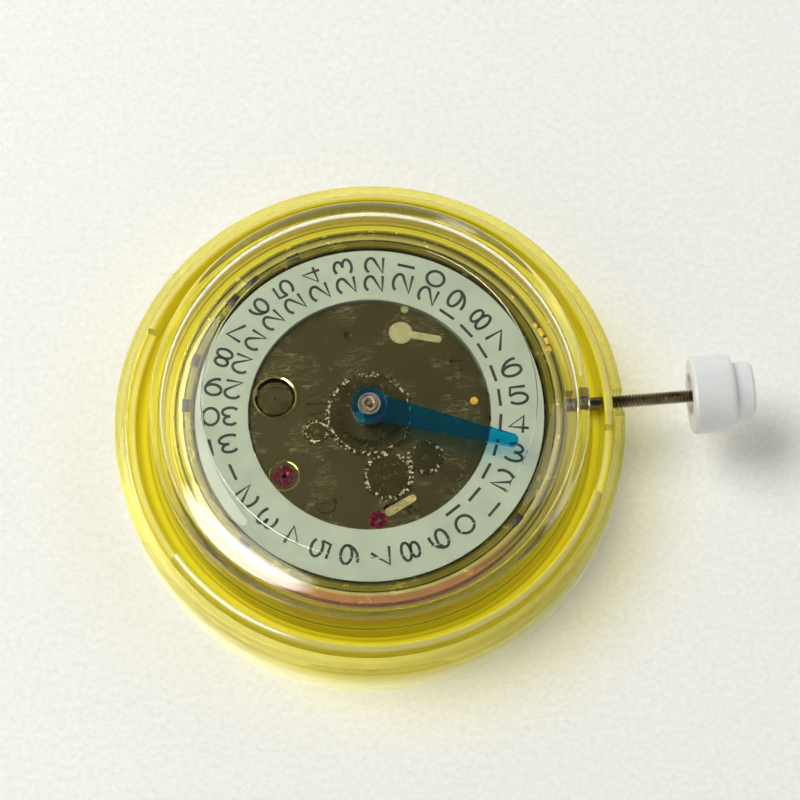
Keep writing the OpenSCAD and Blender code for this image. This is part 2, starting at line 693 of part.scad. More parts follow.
module crown_wheel() color([0.78, 0.8, 0.82]) {
  at(crown_wheel_p) {
    gear(crown_wheel_n, winding_m, z_winding, z_winding + winding_t, face_turn);
    disc(0.8, z_winding, z_face - 0.3);
    disc(face_r, z_face - 0.33, z_face - 0.16);
    slab(z_face - 0.16, z_face) difference() {
      teeth(face_n, (face_r - 0.02) / (face_n / 2 + 0.85));
      circle(face_r - 0.5);
    }
  }
}
module click() color([0.6, 0.62, 0.65]) {
  beak = barrel_p + polar(ratchet_n * winding_m / 2 + 0.12, 108);
  slab(z_winding, z_winding + winding_t) difference() {
    link(click_p, beak, 0.42, 0.08);
    translate(click_p) circle(0.22);
  }
}
module click_spring() color([0.6, 0.62, 0.65]) {
  slab(z_winding, z_winding + winding_t) link(click_spring_p, click_p + [-0.5, 0.3], 0.4, 0.06);
  at(click_spring_p) disc(0.24, z_winding, z_bridge + 0.35);
}

// Going train and escapement
module centre_wheel() color([0.85, 0.72, 0.35]) {
  gear(centre_n, centre_m, z_centre, z_centre + wheel_t, 0, 0.16, 5, 1.1);
  gear(centre_pinion_n, barrel_m, z_barrel - 0.08, z_barrel + 0.5, 0, 0.16);
  tube(0.16, 0.5, z_centre, z_barrel);
  tube(0.16, 0.32, z_barrel, z_dial + 1.5);
}
module third_wheel() color([0.85, 0.72, 0.35]) {
  turn = mesh(centre_n, 0, third_pinion_n, 281);
  at(third_p) {
    arbor(0.12, z_train, z_back);
    gear(third_n, third_m, z_third, z_third + wheel_t, turn, 0, 5, 0.7);
    gear(third_pinion_n, centre_m, z_centre - 0.06, z_centre + 0.28, turn);
  }
}
fourth_turn = mesh(third_n, mesh(centre_n, 0, third_pinion_n, 281), fourth_pinion_n, 101);
module fourth_wheel() color([0.85, 0.72, 0.35]) {
  disc(0.13, z_train, z_second);
  disc(second_seat_r, z_second, z_second + second_seat_l);
  disc(pivot_r, z_train - pivot_l, z_train);
  gear(fourth_pinion_n, third_m, z_third - 0.06, z_third + wheel_t + 0.08, fourth_turn);
  gear(fourth_n, fourth_m, z_fourth, z_fourth + 0.1, fourth_turn, 0, 5, 0.7);
}
module escape_wheel() color([0.8, 0.78, 0.7]) {
  at(escape_p) {
    arbor(0.1, z_train, z_back);
    gear(escape_pinion_n, fourth_m, z_fourth - 0.06, z_fourth + 0.16,
      mesh(fourth_n, fourth_turn, escape_pinion_n, 218));
    slab(z_escape, z_escape + wheel_t) difference() {
      polygon([for (i = [0 : escape_n - 1], c = [[0, 1], [0.13, 1], [0.3, 0.74], [0.82, 0.74]])
        polar(escape_r * c[1], (i + c[0]) * 360 / escape_n)]);
      openings(0.45, escape_r * 0.74 - 0.25, 4, 0.22);
    }
  }
}
fork_l = 2.35;
stone_r = escape_r + 0.14;
module pallet_fork() color([0.75, 0.77, 0.8]) {
  tip = fork_p + polar(fork_l, fork_dir);
  difference() {
    union() {
      slab(z_fork, z_fork + fork_t) {
        link(fork_p, tip, 0.3, 0.16);
        translate(tip) circle(0.3);
        for (s = [-30, 30]) link(fork_p, escape_p + polar(stone_r + 0.25, fork_dir + s), 0.3, 0.26);
      }
      at(fork_p) arbor(0.12, z_pallet_bridge + pallet_bridge_t, z_back);
    }
    slab(z_fork - cut, z_fork + 1) translate(balance_p) circle(balance_gap);
    slab(z_fork - cut, z_fork + 1) translate(tip) rotate(fork_dir) translate([-0.05, -0.11]) square([1, 0.22]);
  }
}
// Radius round the balance axis that the fork stays clear of
balance_gap = 0.68;
module pallet_stones() color([0.8, 0.1, 0.35]) {
  for (s = [-30, 30]) at(escape_p) slab(z_fork - 0.2, z_fork) rotate(fork_dir + s)
    translate([stone_r, -0.09]) square([0.36, 0.18]);
}
module balance_wheel() color([0.86, 0.74, 0.4]) {
  at(balance_p) {
    slab(z_balance, z_balance + balance_t) difference() {
      circle(balance_r);
      openings(0.55, balance_r - balance_rim, 3, 0.4);
    }
    disc(0.15, z_cock + cock_t + 0.05, z_floor + 0.4);
    disc(pivot_r, z_cock + 0.15, z_floor + 0.62);
    disc(0.3, z_hairspring - 0.02, z_balance);
  }
}
module roller() color([0.8, 0.68, 0.36]) {
  z0 = z_fork - 0.35;
  at(balance_p) {
    tube(0.15, 0.72, z0, z0 + 0.15);
    tube(0.15, 0.32, z0 + 0.15, z_fork + fork_t);
    rotate(fork_dir + 180) translate([0.52, 0, z0]) cylinder(r = 0.08, h = z_fork + fork_t - z0);
  }
}
module hairspring() color([0.35, 0.4, 0.6]) {
  r0 = 0.3 + hairspring_w / 2;
  pitch = (2.2 - 0.13 - hairspring_w / 2 - r0) / hairspring_turns;
  at(balance_p) slab(z_hairspring, z_hairspring + 0.1) spiral(r0, pitch, hairspring_turns, hairspring_w, 20);
}
module regulator() color([0.7, 0.71, 0.73]) {
  z0 = z_cock - 0.14;
  at(balance_p) {
    slab(z0, z0 + 0.12) difference() {
      union() {
        circle(1.15);
        link([0, 0], polar(1.8, 100), 0.5, 0.2);
        link([0, 0], polar(2.6, 280), 0.5, 0.2);
      }
      circle(0.86);
    }
    at(polar(1.75, 100)) disc(0.07, z0, z_hairspring - 0.02);
  }
}

// Stem, crown and keyless works
module winding_stem() color([0.5, 0.52, 0.56]) {
  translate([square_x, -square_w / 2, z_stem - square_w / 2]) cube([pinion_x - square_x, square_w, square_w]);
  along_x(pinion_x, stem_step_x, 0.4);
  along_x(stem_step_x, stem_groove_x, stem_r);
  along_x(stem_groove_x, stem_groove_x + groove_w, 0.25);
  along_x(stem_groove_x + groove_w, crown_x + crown_l - 0.5, stem_r);
}
module crown() color([0.86, 0.87, 0.88, 0.9]) {
  difference() {
    union() {
      translate([crown_x, 0, z_stem]) rotate([0, 90, 0]) linear_extrude(crown_l)
        teeth(40, crown_r / 20.85);
      along_x(crown_x + crown_l, crown_x + crown_l + crown_step_l, crown_step_r);
    }
    along_x(crown_x - 1, crown_x + crown_l - 0.5, stem_r);
    along_x(crown_x - 1, crown_x + 0.5, 1.5);
  }
}
module winding_pinion() color([0.7, 0.72, 0.75]) {
  difference() {
    union() {
      translate([pinion_x + 0.12, 0, z_stem]) rotate([0, 90, 0]) linear_extrude(0.55)
        teeth(winding_pinion_n, winding_pinion_r / (winding_pinion_n / 2 + 0.85));
      along_x(pinion_x + 0.12, 10.68, 0.7);
      translate([pinion_x + 0.03, 0, z_stem]) rotate([0, 90, 0]) linear_extrude(0.1) teeth(12, 0.1);
    }
    along_x(pinion_x - 1, 12, 0.42);
  }
}
module sliding_clutch() color([0.7, 0.72, 0.75]) {
  bore = square_w + air;
  g = clutch_x + 0.42;
  difference() {
    union() {
      along_x(clutch_x + 0.1, g, clutch_r);
      along_x(g, g + 0.3, 0.52);
      along_x(g + 0.3, pinion_x - 0.1, clutch_r);
      translate([clutch_x, 0, z_stem]) rotate([0, 90, 0]) linear_extrude(0.15) teeth(14, 0.108);
      translate([pinion_x - 0.12, 0, z_stem]) rotate([0, 90, 0]) linear_extrude(0.12) teeth(12, 0.12);
    }
    translate([clutch_x - 1, -bore / 2, z_stem - bore / 2]) cube([clutch_l + 2, bore, bore]);
  }
}
module yoke() color([0.6, 0.62, 0.65]) {
  tip = [clutch_x + 0.57, 1.02];
  z0 = z_floor + 0.25;
  difference() {
    union() {
      slab(z0, z0 + 0.35) link(yoke_p, tip, 0.45, 0.22);
      translate([tip[0] - 0.08, 0.58, z_stem - 0.1]) cube([0.16, 0.44, z0 + 0.2 - z_stem]);
    }
    at(yoke_p) disc(0.21, z0 - cut, z0 + 1);
  }
}
module yoke_spring() color([0.6, 0.62, 0.65]) {
  z0 = z_floor + 0.25;
  slab(z0, z0 + 0.25) link([8.75, 5.6], [8.57, 2.75], 0.3, 0.06);
}
module setting_lever() color([0.6, 0.62, 0.65]) {
  tip = [stem_groove_x + groove_w / 2, 0];
  z0 = z_floor + 0.7;
  difference() {
    union() {
      slab(z0, z0 + 0.35) link(setting_lever_p, tip, 0.45, 0.28);
      at(tip) disc(0.14, z_stem + 0.3, z0 + 0.2);
    }
    at(setting_lever_p) disc(0.21, z0 - cut, z0 + 1);
  }
}
module setting_lever_spring() color([0.6, 0.62, 0.65]) {
  z0 = z_floor + 0.7;
  slab(z0, z0 + 0.3) {
    link([7.4, 7.7], [9.3, 5.3], 0.6, 0.4);
    link([9.3, 5.3], [10.15, 4.0], 0.3, 0.1);
  }
}

// Motion works, 24 hour wheels and hands
module setting_wheel() color([0.75, 0.77, 0.8]) {
  at(setting_p) gear(setting_n, minute_m, z_motion, z_motion + motion_t,
    mesh(minute_n, mesh(cannon_n, 0, minute_n, 0), setting_n, 0), 0.31);
}
minute_turn = mesh(cannon_n, 0, minute_n, 0);
module minute_wheel() color([0.8, 0.72, 0.45]) {
  at(minute_p) {
    gear(minute_n, minute_m, z_motion, z_motion + motion_t, minute_turn, 0.16);
    gear(minute_pinion_n, hour_m, z_motion, z_hour + motion_t, minute_turn, 0.16);
  }
}
module cannon_pinion() color([0.8, 0.8, 0.78]) {
  gear(cannon_n, minute_m, z_floor + 0.05, z_motion + motion_t + 0.03, 0, 0.33);
  tube(0.33, 0.5, z_floor + 0.05, z_dial + 1.85);
}
hour_turn = mesh(minute_pinion_n, minute_turn, hour_n, 180);
module hour_wheel() color([0.82, 0.8, 0.72]) {
  gear(hour_n, hour_m, z_hour, z_hour + motion_t, hour_turn, 0.52);
  gear(hour_gmt_n, inter_m, z_hour_gmt, z_hour_gmt + motion_t, hour_turn, 0.52);
  tube(0.52, 0.75, z_hour - 0.02, z_dial + 1.7);
}
inter_turn = mesh(hour_gmt_n, hour_turn, inter_n, inter_a);
module gmt_intermediate_wheel() color([0.8, 0.72, 0.45]) {
  at(inter_p) {
    gear(inter_n, inter_m, z_hour_gmt, z_hour_gmt + motion_t, inter_turn, 0, 4, 0.7);
    gear(inter_top_n, gmt_m, z_gmt, z_gmt + motion_t, inter_turn);
    disc(0.35, z_hour_gmt, z_gmt + motion_t + 0.06);
    disc(0.13, z_back + 0.35, z_hour_gmt);
  }
}
gmt_turn = mesh(inter_top_n, inter_turn, gmt_n, inter_a + 180);
module gmt_wheel() color([0.8, 0.82, 0.84]) {
  gear(gmt_n, gmt_m, z_gmt, z_gmt + motion_t, gmt_turn, 0.77);
  tube(0.77, 1.05, z_calendar, z_dial + 0.6);
  gear(gmt_star_n, 2.15 / (gmt_star_n / 2 + 0.85), z_star, z_star + motion_t, gmt_turn, 0.9);
}
module gmt_setting_wheel() color([0.8, 0.72, 0.45]) {
  at(gmt_setting_p) gear(gmt_setting_n, gmt_m, z_gmt, z_gmt + motion_t,
    mesh(inter_top_n, inter_turn, gmt_setting_n, 23), 0.21);
}
module corrector_wheel() color([0.8, 0.72, 0.45]) {
  at(corrector_p) gear(corrector_n, gmt_m, z_gmt, z_gmt + motion_t,
    mesh(gmt_n, gmt_turn, corrector_n, corrector_a), 0.21);
}
module pointer() color([0.0, 0.45, 0.75]) {
  tip_r = 0.43;
  tip = polar(pointer_l - tip_r, pointer_a);
  z0 = z_dial + 1.2;
  difference() {
    union() {
      slab(z0, z0 + pointer_t) link([0, 0], tip, 0.88, tip_r);
      disc(pointer_hub_r, z0 - 0.15, z0 + pointer_t + 0.25);
    }
    disc(0.75, z0 - 1, z0 + 2);
  }
}

// Calendar
module date_driving_wheel() color([0.8, 0.72, 0.45]) {
  turn = mesh(hour_n, hour_turn, date_drive_n, 100);
  at(date_drive_p) difference() {
    union() {
      gear(date_drive_n, hour_m, z_hour, z_hour + motion_t, turn, 0, 4, 0.9);
      disc(0.6, z_hour, z_calendar - 0.04);
      slab(z_flange + 0.04, z_calendar - 0.05) link([0, 0], polar(1.75, 290), 0.5, 0.2);
    }
    disc(0.26, z_hour - cut, z_calendar);
  }
}
module date_ring() color([0.86, 0.88, 0.84]) {
  r0 = date_r_in + 0.3;
  root_r = date_r_in + 0.02;
  tube(date_r_in, date_r_out, z_date, z_date + date_t);
  tube(date_r_in, r0, z_flange + flange_t, z_date);
  slab(z_flange, z_flange + flange_t) difference() {
    circle(r0);
    polygon([
      for (i = [0 : date_n - 1], c = [[-0.36, root_r], [-0.1, date_tip_r], [0.1, date_tip_r], [0.36, root_r]])
        polar(c[1], (i + c[0]) * 360 / date_n)
    ]);
  }
}
module date_jumper() color([0.6, 0.62, 0.65]) {
  beak = polar(7.3, -90 - 180 / date_n);
  slab(z_flange + 0.03, z_calendar - 0.05) difference() {
    union() {
      link(jumper_p, beak, 0.5, 0.25);
      link(beak, 1.045 * beak, 0.2, 0.12);
      link(jumper_p, [4.6, -4.9], 0.35, 0.1);
    }
    translate(jumper_p) circle(0.31);
  }
}

// Automatic winding
module rotor_weight() color([0.7, 0.68, 0.62]) {
  slab(z_rotor, z_rotor + rotor_t) difference() {
    union() {
      intersection() {
        circle(rotor_r, $fn = 128);
        translate([-20, -20]) square([40, 20]);
      }
      circle(2.4);
    }
    circle(1.5);
    for (s = [-1, 1]) difference() {
      intersection() {
        circle(8.6);
        translate([s > 0 ? 0.8 : -20.8, -20.8]) square([20, 20]);
      }
      circle(3.2);
    }
  }
  slab(z_rotor, z_rotor + rotor_rim_t) difference() {
    circle(rotor_r, $fn = 128);
    circle(rotor_rim_r);
    translate([-20, 0]) square([40, 20]);
  }
}
module rotor_hub() color([0.66, 0.68, 0.7]) {
  tube(1.0, 1.5, z_rotor, z_auto_top + auto_t);
  gear(rotor_n, auto_m, z_auto_top, z_auto_top + auto_t, 0, 1.2);
}
ball_n = 7;
module balls(r) for (i = [1 : ball_n]) rotate(i * 360 / ball_n) translate([0.81, 0, z_rotor + 0.2]) sphere(r);
module ball_race() color([0.8, 0.82, 0.85]) {
  balls(0.15);
  difference() {
    tube(0.65, 0.97, z_rotor + 0.05, z_rotor + 0.09);
    balls(0.16);
  }
}
module rotor_screw() color([0.55, 0.57, 0.62]) {
  screw(0.28, 0.9, z_rotor - 0.3, 0.19, z_bridge - 0.35);
}
reduction_turn = mesh(ratchet_n, 0, reduction_pinion_n, 228);
module reverser_gear() color([0.8, 0.72, 0.45]) {
  at(reverser_p) gear(rotor_n, auto_m, z_auto_top, z_auto_top + auto_t,
    mesh(rotor_n, 0, rotor_n, aim([0, 0], reverser_p)), 0.3);
}
module reverser_pinion() color([0.75, 0.77, 0.8]) {
  at(reverser_p) {
    gear(reverser_n, auto_m, z_auto_low, z_auto_low + auto_t,
      mesh(reduction_n, reduction_turn, reverser_n, aim(reduction_p, reverser_p)));
    disc(0.28, z_auto_top - 0.05, z_auto_low);
    disc(0.45, z_auto_top - 0.06, z_auto_top - 0.02);
  }
}
module reduction_wheel() color([0.8, 0.72, 0.45]) {
  at(reduction_p) {
    gear(reduction_n, auto_m, z_auto_low, z_auto_low + auto_t, reduction_turn, 0, 4, 0.8);
    gear(reduction_pinion_n, winding_m, z_auto_low + auto_t, z_winding + winding_t, reduction_turn);
    disc(pivot_r, z_auto_low - 0.2, z_bridge + 0.2);
  }
}

tray();
movement_holder();
clear_lid();
mainplate();
train_bridge();
balance_cock();
pallet_bridge();
automatic_bridge();
calendar_plate();
plate_jewels();
bridge_jewels();
bridge_screws();
calendar_screws();
shock_settings();
barrel_drum();
barrel_cover();
barrel_arbor();
mainspring();
ratchet_wheel();
ratchet_screw();
crown_wheel();
click();
click_spring();
centre_wheel();
third_wheel();
fourth_wheel();
escape_wheel();
pallet_fork();
pallet_stones();
balance_wheel();
roller();
hairspring();
regulator();
winding_stem();
crown();
winding_pinion();
sliding_clutch();
setting_lever();
setting_lever_spring();
yoke();
yoke_spring();
setting_wheel();
minute_wheel();
cannon_pinion();
hour_wheel();
gmt_wheel();
gmt_intermediate_wheel();
gmt_setting_wheel();
date_driving_wheel();
date_ring();
date_jumper();
corrector_wheel();
pointer();
rotor_weight();
rotor_hub();
ball_race();
rotor_screw();
reverser_gear();
reverser_pinion();
reduction_wheel();
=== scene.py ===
import bpy
import math
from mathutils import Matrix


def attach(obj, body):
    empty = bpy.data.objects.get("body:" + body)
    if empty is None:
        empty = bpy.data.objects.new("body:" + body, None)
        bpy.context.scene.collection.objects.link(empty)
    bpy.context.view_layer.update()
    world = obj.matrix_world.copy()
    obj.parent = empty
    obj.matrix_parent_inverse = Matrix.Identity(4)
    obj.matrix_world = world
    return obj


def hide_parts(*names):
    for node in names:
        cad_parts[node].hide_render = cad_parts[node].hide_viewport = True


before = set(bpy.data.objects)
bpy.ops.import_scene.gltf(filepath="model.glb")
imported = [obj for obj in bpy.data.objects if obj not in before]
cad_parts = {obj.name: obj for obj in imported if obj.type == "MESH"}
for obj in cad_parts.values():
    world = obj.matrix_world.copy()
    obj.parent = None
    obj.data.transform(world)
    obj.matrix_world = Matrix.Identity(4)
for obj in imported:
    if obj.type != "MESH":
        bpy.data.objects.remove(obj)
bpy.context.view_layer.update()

# The mainplate is a turned and milled brass disc, lightly plated, that carries everything.
# Only its flat rim shows, round the date ring, with a row of small milled pockets in it.
MM = 0.001
RIM_POCKETS = [110.2, 125, 133.9, 157.5, 172.7, 223, -42.6]
RIM_POCKET_R, RIM_POCKET_L, DIAL_Z = 12.1, 0.9, 7.5
POCKET_SHADE_HALF, POCKET_SHADE_DEEP, POCKET_SHADE_GAP, POCKET_SHADE_EDGE = 0.24, 1.1, 0.01, 0.04


def rgb(r, g, b):
    """A colour given as it looks, 0 to 255, as the light values that a shader takes."""
    return tuple((v / 255 / 12.92) if v <= 10 else ((v / 255 + 0.055) / 1.055) ** 2.4 for v in (r, g, b))


def deselect():
    if bpy.context.mode != "OBJECT":
        bpy.ops.object.mode_set(mode="OBJECT")
    bpy.ops.object.select_all(action="DESELECT")


def only(piece):
    deselect()
    piece.select_set(True)
    bpy.context.view_layer.objects.active = piece


def editing(piece):
    only(piece)
    bpy.ops.object.mode_set(mode="EDIT")
    bpy.ops.mesh.select_all(action="SELECT")


def modified(piece, kind, **settings):
    only(piece)
    bpy.ops.object.modifier_add(type=kind)
    modifier = piece.modifiers[-1]
    for key, value in settings.items():
        setattr(modifier, key, value)
    bpy.ops.object.modifier_apply(modifier=modifier.name)


def placed(piece):
    """Puts the piece's place, turn and size into its mesh, with its faces outwards."""
    only(piece)
    bpy.ops.object.transform_apply(location=True, rotation=True, scale=True)
    editing(piece)
    bpy.ops.mesh.remove_doubles(threshold=0.0005 * MM)
    bpy.ops.mesh.normals_make_consistent(inside=False)
    deselect()
    return piece


def smooth(piece, angle=38):
    only(piece)
    bpy.ops.object.shade_smooth_by_angle(angle=math.radians(angle))
    return piece


def block(name, low, high, turn=0, bevel=0):
    """A block between two corners in mm, then turned by degrees about the Z axis."""
    deselect()
    bpy.ops.mesh.primitive_cube_add(size=1, location=[(a + b) / 2 * MM for a, b in zip(low, high)])
    piece = bpy.context.object
    piece.name = name
    piece.scale = [(b - a) * MM for a, b in zip(low, high)]
    bpy.ops.object.transform_apply(location=True, scale=True)
    if bevel:
        modified(piece, "BEVEL", width=bevel * MM, segments=2)
    piece.rotation_euler = (0, 0, math.radians(turn))
    return placed(piece)


def joined(name, parts):
    only(parts[0])
    for part in parts[1:]:
        part.select_set(True)
    bpy.ops.object.join()
    parts[0].name = name
    return parts[0]


def shader_group(name, inputs, output):
    """A node group with plain number inputs and one number output."""
    group = bpy.data.node_groups.new(name, "ShaderNodeTree")
    for label, value in inputs:
        socket = group.interface.new_socket(label, in_out="INPUT", socket_type="NodeSocketFloat")
        socket.default_value = value
    group.interface.new_socket(output, in_out="OUTPUT", socket_type="NodeSocketFloat")
    return group, group.nodes.new("NodeGroupInput"), group.nodes.new("NodeGroupOutput")


def node(tree, kind, inputs, **settings):
    """A new node with its settings; each input gets a plain value or another node's output."""
    made = tree.nodes.new(kind)
    for key, value in settings.items():
        setattr(made, key, value)
    for key, value in inputs.items():
        if isinstance(value, bpy.types.NodeSocket):
            tree.links.new(value, made.inputs[key])
        else:
            made.inputs[key].default_value = value
    return made


def maths(tree, operation, *terms):
    return node(tree, "ShaderNodeMath", dict(enumerate(terms)), operation=operation).outputs["Value"]


def vectors(tree, operation, *terms, out="Vector"):
    return node(tree, "ShaderNodeVectorMath", dict(enumerate(terms)), operation=operation).outputs[out]


def object_place(tree):
    return tree.nodes.new("ShaderNodeTexCoord").outputs["Object"]


def along(tree, vector, axis):
    return node(tree, "ShaderNodeSeparateXYZ", {0: vector}).outputs[axis]


def spread(tree, value, low, high, to_low=0.0, to_high=1.0, kind="LINEAR"):
    """The value moved from one span to another, and held at the ends."""
    spans = {"Value": value, "From Min": low, "From Max": high, "To Min": to_low, "To Max": to_high}
    return node(tree, "ShaderNodeMapRange", spans, interpolation_type=kind).outputs["Result"]


def noise(tree, place, scale, detail=2.0, roughness=0.5):
    inputs = {"Vector": place, "Scale": scale, "Detail": detail, "Roughness": roughness}
    return node(tree, "ShaderNodeTexNoise", inputs).outputs["Fac"]


# Grain: soft patches between two values, as rubbing and uneven moulding leave
grain, g_in, g_out = shader_group("grain", [("Scale", 500.0), ("Low", 0.2), ("High", 0.4)], "Value")
patches = noise(grain, object_place(grain), g_in.outputs["Scale"], 4.0, 0.6)
patches = spread(grain, patches, 0.32, 0.68, g_in.outputs["Low"], g_in.outputs["High"])
grain.links.new(patches, g_out.inputs["Value"])

# Ring lines: circles about the Z axis, light and dark, as turning and moulding leave
ring_lines, c_in, c_out = shader_group("ring_lines", [("Scale", 2500.0)], "Value")
place = object_place(ring_lines)
reach = vectors(ring_lines, "LENGTH", vectors(ring_lines, "MULTIPLY", place, (1, 1, 0)), out="Value")
way = maths(ring_lines, "SUBTRACT", reach, along(ring_lines, place, "Z"))
steps = maths(ring_lines, "MULTIPLY", way, c_in.outputs["Scale"])
bands = node(ring_lines, "ShaderNodeTexNoise", {"W": steps, "Scale": 1.0, "Detail": 3.0},
             noise_dimensions="1D")
bands = spread(ring_lines, bands.outputs["Fac"], 0.38, 0.62)
ring_lines.links.new(bands, c_out.inputs["Value"])


def grouped(tree, group, **values):
    made = tree.nodes.new("ShaderNodeGroup")
    made.node_tree = group
    for key, value in values.items():
        made.inputs[key].default_value = value
    return made.outputs[0]


def stained(material, mask, colour):
    """Mixes another colour into a finish where the mask is high: tone, wear and also painted light."""
    tree = material.node_tree
    base = tree.nodes["Principled BSDF"].inputs["Base Color"]
    under = base.links[0].from_socket if base.links else tuple(base.default_value)
    mixed = node(tree, "ShaderNodeMix", {0: mask, 6: under, 7: (*colour, 1)}, data_type="RGBA")
    tree.links.new(mixed.outputs[2], base)


GLOSS_FINER, BUMP_DEPTH = 2.7, 0.02


def finish(name, low, high, rough, scale=500.0, bump=0.1, bump_scale=6000.0, lines=None, **constants):
    """A finish whose colour and roughness vary between two values; lines are its scratches."""
    material = bpy.data.materials.new(name)
    material.use_nodes = True
    tree = material.node_tree
    shader = tree.nodes["Principled BSDF"]
    shader.inputs["Base Color"].default_value = (*low, 1)
    if high != low:
        stained(material, grouped(tree, grain, Scale=scale, Low=0.0, High=1.0), high)
    if lines:
        marks = grouped(tree, scratches, Scale=lines[0], Width=lines[1], Share=lines[2])
        stained(material, maths(tree, "MULTIPLY", marks, lines[4]), lines[3])
    gloss = grouped(tree, grain, Scale=scale * GLOSS_FINER, Low=rough[0], High=rough[1])
    tree.links.new(gloss, shader.inputs["Roughness"])
    if bump:
        fine = grouped(tree, grain, Scale=bump_scale, Low=0.0, High=1.0)
        relief = node(tree, "ShaderNodeBump",
                      {"Height": fine, "Strength": bump, "Distance": BUMP_DEPTH * MM})
        tree.links.new(relief.outputs["Normal"], shader.inputs["Normal"])
    for key, value in constants.items():
        shader.inputs[key.replace("_", " ")].default_value = value
    return material


def ringed(material, scale, colour, amount):
    """Adds ring lines of another colour to a finish."""
    tree = material.node_tree
    stained(material, maths(tree, "MULTIPLY", grouped(tree, ring_lines, Scale=scale), amount), colour)


def banded(material, r0, r1, colour, amount, fade):
    """Adds another colour to a finish between two radii in mm, growing between two Y values."""
    tree = material.node_tree
    spot = vectors(tree, "MULTIPLY", object_place(tree), (1 / MM, 1 / MM, 0))
    off = maths(tree, "SUBTRACT", vectors(tree, "LENGTH", spot, out="Value"), (r0 + r1) / 2)
    band = maths(tree, "LESS_THAN", maths(tree, "ABSOLUTE", off), (r1 - r0) / 2)
    side = spread(tree, along(tree, spot, "Y"), *fade, 0.0, amount)
    stained(material, maths(tree, "MULTIPLY", band, side), colour)


def dress(piece, material, body=None):
    piece.data.materials.clear()
    piece.data.materials.append(material)
    if body:
        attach(piece, body)


plated_brass = finish("plated_brass", rgb(164, 154, 58), rgb(190, 180, 84), (0.16, 0.3),
                      scale=300, Metallic=0.7)
ringed(plated_brass, 5200.0, rgb(62, 56, 8), 0.85)
# Painted by radius: a painted shadow where the date ring meets the rim, a pale ring that is a
# painted highlight, dull olive inside the date ring as painted reflection of a dark room, and
# copper growing towards six o'clock. The bands grow between two Y values; those of ALL_ROUND lie
# beyond the plate's edge.
COPPER_FADE, ALL_ROUND = (-9.0, -12.0), (30, 29)
banded(plated_brass, 11.3, 11.85, rgb(66, 60, 22), 0.75, ALL_ROUND)
banded(plated_brass, 12.3, 12.52, rgb(240, 230, 150), 0.7, ALL_ROUND)
banded(plated_brass, 0, 9.0, rgb(84, 78, 44), 1, ALL_ROUND)
banded(plated_brass, 12.5, 13.1, rgb(205, 140, 92), 0.9, COPPER_FADE)
dress(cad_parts["mainplate"], plated_brass)
# Dark blocks set into the rim's empty pockets are painted shade, standing for their dark depth.
pocket_shade_black = finish("pocket_shade_black", rgb(14, 13, 10), rgb(34, 30, 20), (0.4, 0.6))
half_l = RIM_POCKET_L / 2 - POCKET_SHADE_GAP
low = (RIM_POCKET_R - POCKET_SHADE_HALF, -half_l, DIAL_Z - POCKET_SHADE_DEEP)
high = (RIM_POCKET_R + POCKET_SHADE_HALF, half_l, DIAL_Z - POCKET_SHADE_EDGE)
pocket_shades = [block("pocket_shade", low, high, turn=a, bevel=POCKET_SHADE_EDGE) for a in RIM_POCKETS]
dress(smooth(joined("rim_pocket_shades", pocket_shades)), pocket_shade_black, "root")

# The bridges and the cock are stamped and milled brass, nickel plated and striped. They
# are screwed on under the mainplate and hold the trains; nothing of them shows from above.
# Their stripes and scratches are hair lines in three directions, each the thin level of a
# stretched noise; every finish with lines takes them.
SCRATCH_WAYS, LEVEL_STEP, PATCH_SCALE = ((0.5, 9), (-1.1, 6), (1.35, 12)), 0.03, 420.0
SCRATCH_INPUTS = [("Scale", 160.0), ("Width", 0.004), ("Share", 0.5)]
scratches, s_in, s_out = shader_group("scratches", SCRATCH_INPUTS, "Mask")
place = object_place(scratches)
hairs = 0.0
for turn, stretch in SCRATCH_WAYS:
    mapping = node(scratches, "ShaderNodeMapping",
                   {"Vector": place, "Rotation": (0, 0, turn), "Scale": (1, stretch, 1)})
    level = noise(scratches, mapping.outputs["Vector"], s_in.outputs["Scale"], 1.0)
    far = maths(scratches, "ABSOLUTE", maths(scratches, "SUBTRACT", level, 0.5 + LEVEL_STEP * turn))
    hair = maths(scratches, "LESS_THAN", far, s_in.outputs["Width"])
    hairs = maths(scratches, "MAXIMUM", hair, hairs)
here = maths(scratches, "GREATER_THAN", noise(scratches, place, PATCH_SCALE), s_in.outputs["Share"])
scratches.links.new(maths(scratches, "MULTIPLY", hairs, here), s_out.inputs["Mask"])
nickel_striped = finish("nickel_striped", rgb(175, 175, 172), rgb(222, 221, 216), (0.18, 0.34),
                        scale=260, Metallic=1.0, lines=(220.0, 0.02, 0.3, rgb(235, 235, 232), 0.4))
for name in ("train_bridge", "balance_cock", "pallet_bridge", "automatic_bridge"):
    dress(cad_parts[name], nickel_striped)

# Jewels are polished rings of synthetic ruby in which the pivots turn. They are pressed
# into the plate and the bridges; the fork's two pallet stones are cemented in.
ruby = finish("ruby", rgb(12, 2, 6), rgb(104, 8, 42), (0.03, 0.1),
              scale=3600, bump=0.7, bump_scale=2600.0, Specular_IOR_Level=0.8,
              Coat_Weight=0.6, Coat_Roughness=0.03)
for name in ("plate_jewels", "bridge_jewels", "pallet_stones"):
    dress(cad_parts[name], ruby)

# Screws, arbors, clicks, levers and springs are turned or stamped steel, hardened and
# polished. The screws have one plain slot.
polished_steel = finish("polished_steel", rgb(150, 153, 158), rgb(205, 208, 212), (0.12, 0.26),
                        scale=700, Metallic=1.0, lines=(500.0, 0.006, 0.5, rgb(235, 236, 238), 0.4))
for name in ("bridge_screws", "barrel_arbor", "ratchet_screw", "click", "click_spring", "escape_wheel",
             "pallet_fork", "regulator", "winding_pinion", "sliding_clutch", "setting_lever",
             "setting_lever_spring", "yoke", "yoke_spring", "setting_wheel", "date_jumper", "rotor_hub",
             "ball_race", "rotor_screw", "reverser_pinion"):
    dress(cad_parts[name], polished_steel)

